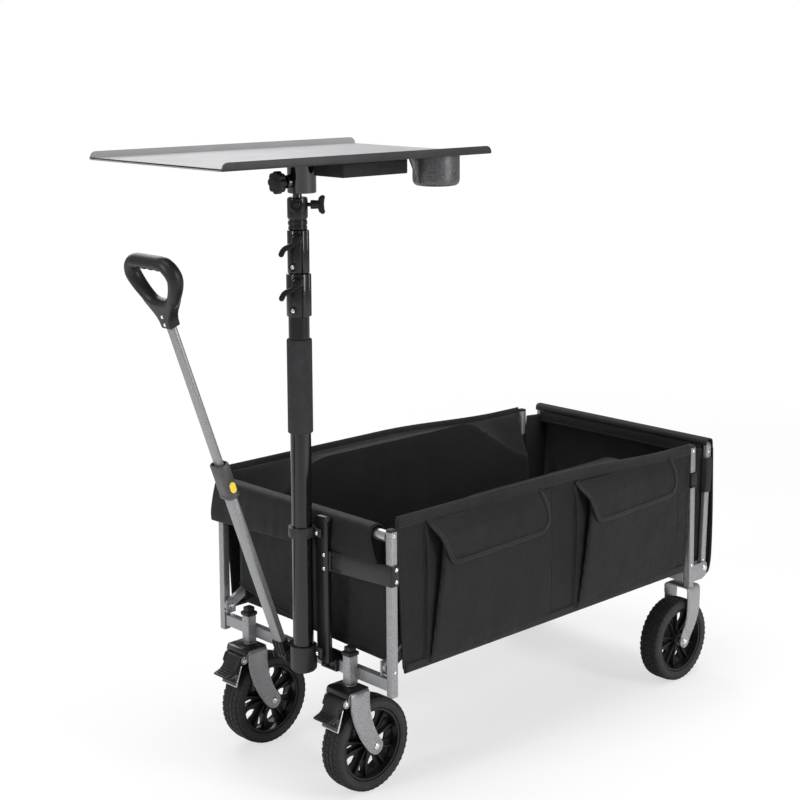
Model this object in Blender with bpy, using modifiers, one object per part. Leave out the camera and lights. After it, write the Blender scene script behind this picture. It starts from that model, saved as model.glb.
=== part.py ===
"""Folding utility wagon with a fabric bag, a pull handle and a telescoping mast that carries a tray.

Metres, +X forward (handle end), +Y to the wagon's left, +Z up. Sizes below are written in the wagon's own
frame, with x = 0 at the front posts' centres; the empty named wagon then moves everything so that the
origin lies on the ground under the middle of the whole object.
"""
import math

import bmesh
import bpy
from mathutils import Matrix, Vector

GAP = 0.0003                      # clearance between pieces that touch or nest
OVERLAP = 0.0010                  # how far two shapes reach into each other where they are welded

# End frames
POST = 0.015                      # side of the square posts
HALF_WIDTH = 0.253                # centre line to the posts' outer faces
POST_SPACING = 0.851              # front posts' centres to rear posts' centres
POST_BOTTOM_Z = 0.2055
POST_TOP_Z = 0.508
POST_CAP = 0.004                  # height of the plastic cap on a post
POST_CAP_INSET = 0.0004
POST_CAP_EDGE = 0.001
POST_EDGE = 0.0012                # rounding of the posts' and rails' edges
RIVET_R = 0.0034
RIVET_PROUD = 0.0012
RIVET_UP = 0.0465                 # lower rivet above a front post's foot
RIVET_DOWN = 0.0075               # upper rivet under a post's top
TOP_RAIL_R = 0.0105
TOP_RAIL_Z = 0.4965
LOWER_RAIL_Z = 0.2255             # centre height of the lower rails
LOWER_RAIL_HEIGHT = 0.022
LOWER_RAIL_DEPTH = 0.015
LOWER_RAIL_SETBACK = 0.003        # the rail's face lies this far behind the posts' faces
STEM = 0.020                      # side of the square caster stem tubes
STEM_BOTTOM_Z = 0.208
STEM_TOP_Z = 0.262
STEM_CAP = 0.024                  # side of the plug cap's flange
STEM_CAP_FLANGE = 0.007
STEM_CAP_BUTTON = 0.009

# Wheels and forks
WHEEL_R = 0.0877
TYRE_WIDTH = 0.0465
TYRE_BORE_R = 0.0675              # where the tyre sits on the rim
RIM_WIDTH = 0.040
RIM_WALL = 0.0045
HUB_R = 0.015
SPOKE_WIDTH = 0.007
SPOKE_THICKNESS = 0.020
SPOKES = 10
WHEEL_STEPS = 40                  # facets round a tyre and its rim
AXLE_R = 0.0045
FRONT_WHEEL_Y = 0.149
TRAIL = 0.034                     # caster swivel axis to the front axle
REAR_WHEEL_INSET = 0.034          # rear wheels' middle inside the posts' outer faces
REAR_AXLE_AHEAD = 0.017           # rear axle ahead of the rear posts' centres
FORK_WALL = 0.0035
FORK_INSIDE = 0.0585              # clear width between a fork's arms
FORK_TOP_Z = 0.203
FRONT_FORK_BEND = 0.053           # how far under its top plate each arm starts to bend back
REAR_FORK_BEND = 0.063
FRONT_FORK_X = (-0.022, 0.026)    # top plate's ends about the swivel axis
REAR_FORK_X = (-0.0325, 0.0085)   # top plate's ends about the rear posts' centres
EYE_R = 0.0130
SWIVEL_R = 0.0085
PEDAL_PIVOT = (0.033, 0.1845)     # ahead of the swivel axis, height
PEDAL_PIN_R = 0.0035
PEDAL_WIDTH = 0.050

# Side links that fold the wagon
LINK_ANGLE = math.radians(30.0)   # rise of the long links when the wagon stands open
LINK_PIVOT_Z = 0.257
LINK_HEIGHT = 0.019
LINK_THICKNESS = 0.0078
LINK_PIN_R = 0.0035
LINK_PLANE_GAP = 0.0012           # between neighbouring link planes
CLEVIS_GAP = 0.0012               # between a post's bracket and the link in it
CLEVIS_WALL = 0.003
CLEVIS_EAR_X = 0.011              # half the ear's length
CLEVIS_EAR_Z = (0.0145, 0.0130)   # how far the ear reaches under and over its pin
CROSS_TUBE_R = 0.008
STAY_PIN_R = 0.0045
STAY_TAIL = 0.030                 # the rear stay's cross tube lies this far past the middle pivot

# Gate at the rear
GATE_PIVOT_BACK = 0.0475          # behind the rear posts' centres
GATE_PIVOT_Z = 0.236
GATE_LEAN = math.radians(3.0)
GATE_TOP_Z = 0.510
GATE_BAR_X = 0.015
GATE_BAR_Y = 0.010
GATE_INSET = 0.0055               # gate bars' outer faces inside the posts' outer faces
GATE_EAR = 0.003                  # each ear of the bracket that holds a gate bar
GATE_EAR_GAP = 0.0008
GATE_EAR_BACK = 0.009             # how far an ear reaches behind the pivot
GATE_EAR_DOWN = 0.0235
GATE_EAR_UP = 0.013
GATE_WEB_AHEAD = 0.0165           # the web between the ears starts this far ahead of the pivot
GATE_PIN_R = 0.0040
GATE_WING = 0.0375                # how far the panel's side wings reach forward
GATE_LOOP_Z = (0.4010, 0.4750)    # the cloth loops that hold the panel on the gate's bars
GATE_LOOP_X = 0.0120
CATCH_Z = (0.4215, 0.4545)        # the clip on each rear post
CATCH_WALL = 0.0025

# Mast, on the left of the front frame
MAST_X = 0.045
MAST_Y = 0.054
LOWER_TUBE_R = 0.0188
LOWER_TUBE_WALL = 0.0018
LOWER_TUBE_BOTTOM_Z = 0.2215
LOWER_TUBE_TOP_Z = 0.880
MIDDLE_TUBE_R = 0.0160
MIDDLE_TUBE_WALL = 0.0016
MIDDLE_TUBE_BOTTOM_Z = 0.300
TOP_TUBE_R = 0.0132
TOP_TUBE_BOTTOM_Z = 0.340
COLLAR_LENGTH = 0.0775            # each clamp collar
LOWER_COLLAR_R = 0.0218
UPPER_COLLAR_R = 0.0185
LOWER_COLLAR_BOTTOM_Z = 0.872
LEVER_UP = 0.063                  # clamp lever's hub above its collar's foot
LEVER_HUB_R = 0.0085
LEVER_BOSS = 0.003                # how far the collar's boss stands out
LEVER_HUB = 0.013
LEVER_ARM = 0.036
LEVER_ARM_WIDTH = 0.0095
HEAD_R = 0.0183
HEAD_LENGTH = 0.0575
HEAD_BUTTON_R = 0.0105
SPIGOT_R = 0.0080
SPIGOT_DEPTH = 0.033              # how deep the tray's spigot sits in the head
GRIP_R = 0.0227
GRIP_Z = (0.661, 0.831)
SOCKET_R = 0.0245
SOCKET_Z = (0.2130, 0.2640)
CHANNEL_X = (0.0200, 0.0300)
CHANNEL_Y = (0.0735, 0.1065)
CHANNEL_Z = (0.2400, 0.5090)
RING_R = 0.0250
RING_Z = (0.4690, 0.4870)
STRAP_Z = (0.4100, 0.4480)
STRAP_THICKNESS = 0.003
FACE_TURN = math.radians(45.0)    # side of the mast that carries the levers' hubs and the head's button
KNOB_TURN = math.radians(135.0)   # side that carries the head's wing knob
KNOB_UP = 0.0440                  # wing knob above the head's foot
KNOB_REACH = (0.0225, 0.0390)
WING_SPAN = 0.024

# Tray on the mast
TRAY_LENGTH = 0.600
TRAY_WIDTH = 0.379
TRAY_OFFSET = (-0.0050, -0.0085)  # tray's centre from the mast's axis
SPIGOT_SHOW = 0.0074              # what shows of the spigot between the head and the tray's socket
TRAY_SOCKET_LENGTH = 0.063        # up to the underside of the tray's plate
TRAY_SHEET = 0.0025
TRAY_FLANGE = 0.0145              # height of the two long upturned edges, over the underside
TRAY_CORNER_R = 0.010
TRAY_SOCKET_R = 0.0256
TRAY_BOX = (0.138, 0.080, 0.031)
TRAY_BOX_PAST_CUP = 0.083         # the box's rear end ahead of the cup's centre
TRAY_BOX_ASIDE = 0.116            # its left face from the mast's axis
CUP_R = 0.0430
CUP_WALL = 0.004
CUP_FROM_EDGES = (0.077, 0.065)   # its centre from the tray's rear end and left edge
CUP_DEPTH = 0.057
CUP_FLANGE = (0.062, 0.076)       # how far its mounting plate reaches behind and ahead of its centre
CUP_FLANGE_WIDTH = 0.060
CUP_FLANGE_SHEET = 0.0022
CUP_FLOOR = 0.003
GUSSET = 0.005                    # thickness of the plate between cup and mounting plate
CUP_GUSSET_UP = 0.020             # height of the gusset's lower corner over the cup's bottom
STAR_KNOB_DOWN = 0.0425           # its axis under the tray's plate
STAR_KNOB_R = 0.0185
STAR_LOBES = 8
STAR_LOBE = 0.07                  # half the depth between lobes, as a share of the radius
STAR_KNOB_X = (0.0400, 0.0520)    # ahead of the mast's axis
STAR_BOSS_X = 0.0290
STAR_BOSS_R = 0.0120
SCREW_R = 0.0035

# Pull handle
HANDLE_X = 0.0468
HANDLE_Z = 0.2323
HANDLE_LEAN = math.radians(19.9)
HANDLE_LOWER_END = 0.346          # distances along the handle from its pivot
HANDLE_COLLAR = (0.343, 0.411)
HANDLE_UPPER_START = 0.285
HANDLE_NECK = 0.684
HANDLE_LOWER_SECTION = (0.0150, 0.0280)
HANDLE_LOWER_WALL = 0.0016
HANDLE_UPPER_SECTION = (0.0110, 0.0220)
HANDLE_COLLAR_SECTION = (0.0250, 0.0370)
HANDLE_PIN_R = 0.0040
HANDLE_EAR = 0.0045
HANDLE_EAR_WIDTH = 0.026
HANDLE_BASE_X = 0.022             # front of the block that carries the ears
GRIP_NECK = (0.0210, 0.0300)
GRIP_NECK_LENGTH = 0.034
GRIP_LOOP_TOP = 0.122             # centre of the loop's top bar, from the neck's start
GRIP_LOOP_WIDTH = 0.122           # between the centres of its sides, at the top
GRIP_LOOP_R = 0.0105
GRIP_LOOP_BEND = 0.026            # radius of the loop's two top corners
BUTTON_SIZE = (0.012, 0.021)
BUTTON_ALONG = 0.3655
BUTTON_PROUD = 0.0025
BUTTON_TRAVEL = 0.0020
BUTTON_DEPTH = 0.0038

# Fabric bag
FABRIC = 0.004                    # thickness of the bag's walls
RIM_Z = 0.530
RIM_REAR_Z = 0.515
HEM_Z = 0.2460
SIDE_SLANT = 0.016                # how far a side panel's ends slope in towards the hem
SIDE_SETBACK = 0.002              # panel's outer face inside the posts' outer faces
BAG_INSET = 0.050                 # edges of the floor and front panel inside the posts' outer faces
FLOOR_Z = 0.2700
FRONT_PANEL_BOTTOM_Z = 0.2640
CUFF_PAST_POST = 0.009            # the cuff's right end past the right post's outer face
CUFF_SHORT = 0.048                # its left end short of the left post's outer face
CUFF_BOTTOM_Z = (0.4300, 0.4505)  # at the right end, at the left end
CUFF_X = 0.0150                   # front face of the cuff
POCKET_DEPTH = 0.018
POCKET_TOP_Z = 0.508
POCKET_BOTTOM_Z = 0.262
POCKETS = ((-0.0740, -0.4030), (-0.4720, -0.7970))   # front and rear edge of each pocket

PAINT_GREY = ((0.34, 0.34, 0.34), 0.45, 0.75)
PAINT_BLACK = ((0.012, 0.012, 0.013), 0.25, 0.4)
PLASTIC = ((0.020, 0.020, 0.021), 0.55, 0.0)
FOAM = ((0.035, 0.035, 0.036), 0.9, 0.0)
RUBBER = ((0.030, 0.030, 0.031), 0.8, 0.0)
CLOTH = ((0.012, 0.012, 0.013), 0.85, 0.0)
YELLOW = ((0.93, 0.62, 0.03), 0.4, 0.0)
STEEL = ((0.70, 0.70, 0.72), 0.3, 1.0)

# Places that follow from the sizes above
REAR_X = -POST_SPACING
REAR_WHEEL_Y = HALF_WIDTH - REAR_WHEEL_INSET
GATE_HALF_WIDTH = HALF_WIDTH - GATE_INSET
BAG_HALF_WIDTH = HALF_WIDTH - BAG_INSET
CUFF_Y = (-HALF_WIDTH - CUFF_PAST_POST, HALF_WIDTH - CUFF_SHORT)
POST_INNER_Y = HALF_WIDTH - POST
RAIL_FACE_X = POST / 2 - LOWER_RAIL_SETBACK
STEM_X = RAIL_FACE_X + GAP + STEM / 2
FRONT_AXLE_X = STEM_X - TRAIL
REAR_AXLE_X = REAR_X + REAR_AXLE_AHEAD
LINK_HALF_SPAN = POST_SPACING / 2
LINK_LENGTH = LINK_HALF_SPAN / math.cos(LINK_ANGLE)
APEX_Z = LINK_PIVOT_Z + LINK_LENGTH * math.sin(LINK_ANGLE)
LINK_PLANE = LINK_THICKNESS + LINK_PLANE_GAP
OUTER_LINK_Y = POST_INNER_Y - CLEVIS_GAP - LINK_THICKNESS / 2
INNER_LINK_Y = OUTER_LINK_Y - LINK_PLANE
STAY_LINK_Y = INNER_LINK_Y - LINK_PLANE
GATE_X = REAR_X - GATE_PIVOT_BACK
UPPER_COLLAR_BOTTOM_Z = LOWER_COLLAR_BOTTOM_Z + COLLAR_LENGTH + GAP
HEAD_BOTTOM_Z = UPPER_COLLAR_BOTTOM_Z + COLLAR_LENGTH + GAP
HEAD_TOP_Z = HEAD_BOTTOM_Z + HEAD_LENGTH
TRAY_SOCKET_BOTTOM_Z = HEAD_TOP_Z + SPIGOT_SHOW
TRAY_Z = TRAY_SOCKET_BOTTOM_Z + TRAY_SOCKET_LENGTH
TRAY_CENTRE = (MAST_X + TRAY_OFFSET[0], MAST_Y + TRAY_OFFSET[1])
CUP_CENTRE = (TRAY_CENTRE[0] - TRAY_LENGTH / 2 + CUP_FROM_EDGES[0],
              TRAY_CENTRE[1] + TRAY_WIDTH / 2 - CUP_FROM_EDGES[1])
CUP_BOTTOM_Z = TRAY_Z - CUP_DEPTH
TRAY_BOX_CORNER = (CUP_CENTRE[0] + TRAY_BOX_PAST_CUP + TRAY_BOX[0], MAST_Y + TRAY_BOX_ASIDE)
STAR_KNOB_Z = TRAY_Z - STAR_KNOB_DOWN
HANDLE_TOP = HANDLE_NECK + GRIP_LOOP_TOP
GATE_LENGTH = (GATE_TOP_Z - GATE_PIVOT_Z) / math.cos(GATE_LEAN)
PANEL_BACK = GATE_BAR_X / 2 + GAP + FABRIC
FRONT_REACH = max(HANDLE_X + HANDLE_TOP * math.sin(HANDLE_LEAN) + GRIP_LOOP_R,
                  TRAY_CENTRE[0] + TRAY_LENGTH / 2)
REAR_REACH = min(REAR_AXLE_X - WHEEL_R,
                 GATE_X - GATE_LENGTH * math.sin(GATE_LEAN) - PANEL_BACK * math.cos(GATE_LEAN))
SIDES = ((1, "left"), (-1, "right"))

parts = bpy.data.collections.new("utility_wagon")
cutters = bpy.data.collections.new("cutters")
bodies = {}
materials = {}


def clear_scene():
    for old in list(bpy.data.objects):
        bpy.data.objects.remove(old, do_unlink=True)
    bpy.context.scene.collection.children.link(parts)
    bpy.context.scene.collection.children.link(cutters)


def add_body(name, parent, place):
    """An empty on a joint's axis; the pieces that move with the joint are its children."""
    empty = bpy.data.objects.new(name, None)
    parts.objects.link(empty)
    empty.location = place
    if parent:
        empty.parent = bodies[parent]
        empty.location = Vector(place) - Vector(bodies[parent]["place"])
    empty["place"] = tuple(place)
    bodies[name] = empty


def surface(look):
    """The plain material of a look: base colour, roughness and metallic."""
    color, roughness, metallic = look
    key = "look_%.3f_%.2f_%.1f" % (color[0], roughness, metallic)
    if key not in materials:
        made = bpy.data.materials.new(key)
        made.use_nodes = True
        shader = made.node_tree.nodes["Principled BSDF"]
        shader.inputs["Base Color"].default_value = (*color, 1.0)
        shader.inputs["Roughness"].default_value = roughness
        shader.inputs["Metallic"].default_value = metallic
        materials[key] = made
    return materials[key]


def to_object(name, mesh, matrix=None):
    obj = bpy.data.objects.new(name, mesh)
    bpy.context.scene.collection.objects.link(obj)
    if matrix is not None:
        mesh.transform(matrix)
    return obj


def box(name, low, high, bevel=0.0, segments=2):
    """A block between two opposite corners."""
    low = Vector(low)
    high = Vector(high)
    bm = bmesh.new()
    bmesh.ops.create_cube(bm, size=1.0)
    bmesh.ops.scale(bm, vec=high - low, verts=bm.verts)
    bmesh.ops.translate(bm, vec=(high + low) / 2, verts=bm.verts)
    mesh = bpy.data.meshes.new(name)
    bm.to_mesh(mesh)
    bm.free()
    obj = to_object(name, mesh)
    if bevel > 0:
        rounding = obj.modifiers.new("Bevel", "BEVEL")
        rounding.width = bevel
        rounding.segments = segments
        rounding.limit_method = "ANGLE"
    return obj


def rod(name, start, end, radius, sides=24, end_radius=None):
    """A cylinder or cone from one point to another."""
    start = Vector(start)
    end = Vector(end)
    bm = bmesh.new()
    bmesh.ops.create_cone(bm, cap_ends=True, segments=sides, radius1=radius,
                          radius2=radius if end_radius is None else end_radius, depth=(end - start).length)
    mesh = bpy.data.meshes.new(name)
    bm.to_mesh(mesh)
    bm.free()
    turn = (end - start).to_track_quat("Z", "Y").to_matrix().to_4x4()
    mesh.transform(Matrix.Translation((start + end) / 2) @ turn)
    mesh.set_sharp_from_angle(angle=math.radians(35))
    return to_object(name, mesh)


def as_mesh(curve_obj):
    """The closed mesh of a curve object, which takes the curve's name and place."""
    bpy.context.view_layer.update()
    depsgraph = bpy.context.evaluated_depsgraph_get()
    mesh = bpy.data.meshes.new_from_object(curve_obj.evaluated_get(depsgraph))
    bm = bmesh.new()
    bm.from_mesh(mesh)
    bmesh.ops.remove_doubles(bm, verts=bm.verts, dist=0.00001)
    bmesh.ops.recalc_face_normals(bm, faces=bm.faces)
    bm.to_mesh(mesh)
    bm.free()
    name = curve_obj.name
    matrix = curve_obj.matrix_basis.copy()
    bpy.data.objects.remove(curve_obj, do_unlink=True)
    obj = to_object(name, mesh)
    obj.name = name
    obj.matrix_basis = matrix
    return obj


PLANES = {
    "XY": Matrix.Identity(4),
    "XZ": Matrix(((1, 0, 0, 0), (0, 0, -1, 0), (0, 1, 0, 0), (0, 0, 0, 1))),
    "YZ": Matrix(((0, 0, 1, 0), (1, 0, 0, 0), (0, 1, 0, 0), (0, 0, 0, 1))),
}


def plate(name, outline, thickness, plane, centre):
    """A flat outline in one of the three planes, extruded evenly about centre on the plane's normal."""
    curve = bpy.data.curves.new(name, "CURVE")
    curve.dimensions = "2D"
    curve.fill_mode = "BOTH"
    curve.extrude = thickness / 2
    spline = curve.splines.new("POLY")
    spline.points.add(len(outline) - 1)
    for point, (a, b) in zip(spline.points, outline):
        point.co = (a, b, 0.0, 1.0)
    spline.use_cyclic_u = True
    obj = bpy.data.objects.new(name, curve)
    bpy.context.scene.collection.objects.link(obj)
    shift = {"XY": (0, 0, centre), "XZ": (0, centre, 0), "YZ": (centre, 0, 0)}[plane]
    obj.matrix_basis = Matrix.Translation(shift) @ PLANES[plane]
    return as_mesh(obj)


def bent_tube(name, points, radius, resolution=3, cyclic=False):
    """A round tube swept through a row of points."""
    curve = bpy.data.curves.new(name, "CURVE")
    curve.dimensions = "3D"
    curve.bevel_depth = radius
    curve.bevel_resolution = resolution
    curve.use_fill_caps = True
    spline = curve.splines.new("POLY")
    spline.points.add(len(points) - 1)
    for point, place in zip(spline.points, points):
        point.co = (*place, 1.0)
    spline.use_cyclic_u = cyclic
    obj = bpy.data.objects.new(name, curve)
    bpy.context.scene.collection.objects.link(obj)
    return as_mesh(obj)


def turned(name, profile, matrix, steps=32, closed=False):
    """A turned solid: profile is (radius, height), down the outer side from top to bottom."""
    mesh = bpy.data.meshes.new(name)
    edges = [(i, i + 1) for i in range(len(profile) - 1)]
    if closed:
        edges.append((len(profile) - 1, 0))
    mesh.from_pydata([(r, 0.0, z) for r, z in profile], edges, [])
    obj = to_object(name, mesh)
    obj.matrix_basis = matrix
    screw = obj.modifiers.new("Screw", "SCREW")
    screw.axis = "Z"
    screw.steps = steps
    screw.render_steps = steps
    screw.use_merge_vertices = True
    screw.merge_threshold = 0.00005
    screw.use_smooth_shade = True
    weld = obj.modifiers.new("Weld", "WELD")
    weld.merge_threshold = 0.00001
    return obj


def boolean(obj, others, operation):
    for other in others:
        step = obj.modifiers.new(operation.title(), "BOOLEAN")
        step.operation = operation
        step.object = other
        for held in list(other.users_collection):
            held.objects.unlink(other)
        cutters.objects.link(other)
        other.hide_render = True
        other.display_type = "WIRE"
        other.name = obj.name + "_" + operation.lower() + "_tool"
    return obj


def join(obj, *others):
    return boolean(obj, others, "UNION")


def cut(obj, *others):
    return boolean(obj, others, "DIFFERENCE")


def attach(obj, body):
    """Parents a piece, and the tools of its Booleans, to the empty of its body."""
    origin = bodies[body]["place"]
    place = Matrix.Translation(-Vector(origin)) @ obj.matrix_basis
    obj.parent = bodies[body]
    tools = [step.object for step in obj.modifiers if step.type == "BOOLEAN"]
    if any(step.type == "SCREW" for step in obj.modifiers):
        obj.matrix_basis = place
    else:
        obj.data.transform(place)
        obj.matrix_basis = Matrix.Identity(4)
    for tool in tools:
        attach(tool, body)


def keep(obj, body, look):
    """Puts a finished piece in the wagon's collection, on its body and with its material."""
    for held in list(obj.users_collection):
        held.objects.unlink(obj)
    parts.objects.link(obj)
    obj.data.materials.clear()
    obj.data.materials.append(surface(look))
    attach(obj, body)
    return obj


def arc(a, b, radius, start, end, points=6):
    """Points on an arc about (a, b), angles in degrees."""
    angles = [math.radians(start + (end - start) * i / (points - 1)) for i in range(points)]
    return [(a + radius * math.cos(t), b + radius * math.sin(t)) for t in angles]


def slot_outline(start, end, width, points=6):
    """A bar with round ends between two points of a plane."""
    turn = math.degrees(math.atan2(end[1] - start[1], end[0] - start[0]))
    return (arc(end[0], end[1], width / 2, turn - 90, turn + 90, points)
            + arc(start[0], start[1], width / 2, turn + 90, turn + 270, points))


def rounded_section(depth, width, radius, points=4):
    """A rectangle with rounded corners about the origin."""
    a = depth / 2 - radius
    b = width / 2 - radius
    return (arc(a, b, radius, 0, 90, points) + arc(-a, b, radius, 90, 180, points)
            + arc(-a, -b, radius, 180, 270, points) + arc(a, -b, radius, 270, 360, points))


def along(frame, low, high, outline, name):
    """A section in the XY plane of frame, extruded along the frame's Z between low and high."""
    obj = plate(name, outline, high - low, "XY", (high + low) / 2)
    obj.data.transform(frame @ obj.matrix_basis)
    obj.matrix_basis = Matrix.Identity(4)
    return obj


def y_span(side, inner, outer):
    """Low and high y of a piece between two distances from the centre line."""
    return (inner, outer) if side > 0 else (-outer, -inner)


def ring(name, centre, outer, inner, low, high, steps=32):
    """A plain vertical tube or ring about an upright axis."""
    profile = [(outer, high), (outer, low), (inner, low), (inner, high)]
    return turned(name, profile, Matrix.Translation((centre[0], centre[1], 0)), steps, closed=True)


def rivet(side, x, z):
    """A rivet head on the outer face of a post."""
    return rod("rivet", (x, side * (HALF_WIDTH - OVERLAP), z), (x, side * (HALF_WIDTH + RIVET_PROUD), z),
               RIVET_R, 12)


def clevis(side, post_x, ear_y):
    """The bracket on a post's inner face, with the pin that a side link turns on."""
    low, high = y_span(side, ear_y - CLEVIS_WALL, ear_y)
    ear = box("ear", (post_x - CLEVIS_EAR_X, low, LINK_PIVOT_Z - CLEVIS_EAR_Z[0]),
              (post_x + CLEVIS_EAR_X, high, LINK_PIVOT_Z + CLEVIS_EAR_Z[1]), 0.002)
    low, high = y_span(side, ear_y - CLEVIS_WALL + OVERLAP, POST_INNER_Y + OVERLAP)
    web_top = LINK_PIVOT_Z - LINK_HEIGHT / 2 - 0.001
    web_x = POST / 2 - GAP
    web = box("web", (post_x - web_x, low, web_top - CLEVIS_WALL), (post_x + web_x, high, web_top))
    pin = rod("pin", (post_x, side * (ear_y - CLEVIS_WALL / 2), LINK_PIVOT_Z),
              (post_x, side * (POST_INNER_Y + OVERLAP), LINK_PIVOT_Z), LINK_PIN_R, 16)
    return ear, web, pin


def post(name, side, x, bottom, ear_y, body, extras):
    """A square post with its end cap, rivets and link bracket."""
    low, high = y_span(side, POST_INNER_Y, HALF_WIDTH)
    tube = box(name, (x - POST / 2, low, bottom), (x + POST / 2, high, POST_TOP_Z), POST_EDGE)
    low, high = y_span(side, POST_INNER_Y + POST_CAP_INSET, HALF_WIDTH - POST_CAP_INSET)
    cap = box("cap", (x - POST / 2 + POST_CAP_INSET, low, POST_TOP_Z - OVERLAP),
              (x + POST / 2 - POST_CAP_INSET, high, POST_TOP_Z + POST_CAP), POST_CAP_EDGE)
    join(tube, cap, rivet(side, x, POST_TOP_Z - RIVET_DOWN), rivet(side, x, POST_BOTTOM_Z + RIVET_UP),
         *clevis(side, x, ear_y), *extras)
    return keep(tube, body, PAINT_GREY)


def lower_rail(name, face_x, back_x, body):
    """The flat rail between the feet of two posts."""
    end = POST_INNER_Y - GAP
    rail = box(name, (min(face_x, back_x), -end, LOWER_RAIL_Z - LOWER_RAIL_HEIGHT / 2),
               (max(face_x, back_x), end, LOWER_RAIL_Z + LOWER_RAIL_HEIGHT / 2), POST_EDGE)
    return keep(rail, body, PAINT_GREY)


def front_end():
    ear_y = OUTER_LINK_Y - LINK_THICKNESS / 2 - CLEVIS_GAP
    for side, label in SIDES:
        post("front_post_" + label, side, 0.0, POST_BOTTOM_Z, ear_y, "front_frame", ())
    rail_end = POST_INNER_Y - GAP
    keep(rod("front_top_rail", (0, -rail_end, TOP_RAIL_Z), (0, rail_end, TOP_RAIL_Z), TOP_RAIL_R, 24),
         "front_frame", STEEL)
    lower_rail("front_lower_rail", RAIL_FACE_X, RAIL_FACE_X - LOWER_RAIL_DEPTH, "front_frame")
    for side, label in SIDES:
        y = side * FRONT_WHEEL_Y
        stem = box("caster_tube_" + label, (RAIL_FACE_X + GAP, y - STEM / 2, STEM_BOTTOM_Z),
                   (RAIL_FACE_X + GAP + STEM, y + STEM / 2, STEM_TOP_Z), 0.0006)
        cap_x = STEM_X
        flange_top = STEM_TOP_Z + STEM_CAP_FLANGE
        flange = box("flange", (cap_x - STEM_CAP / 2, y - STEM_CAP / 2, STEM_TOP_Z - OVERLAP),
                     (cap_x + STEM_CAP / 2, y + STEM_CAP / 2, flange_top), 0.002)
        button = box("button", (cap_x - 0.0085, y - 0.0085, flange_top - OVERLAP),
                     (cap_x + 0.0085, y + 0.0085, flange_top + STEM_CAP_BUTTON), 0.002)
        bore = rod("bore", (STEM_X, y, STEM_BOTTOM_Z - OVERLAP), (STEM_X, y, STEM_BOTTOM_Z + 0.030),
                   SWIVEL_R + GAP, 20)
        cut(join(stem, flange, button), bore)
        keep(stem, "front_frame", PAINT_GREY)


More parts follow.
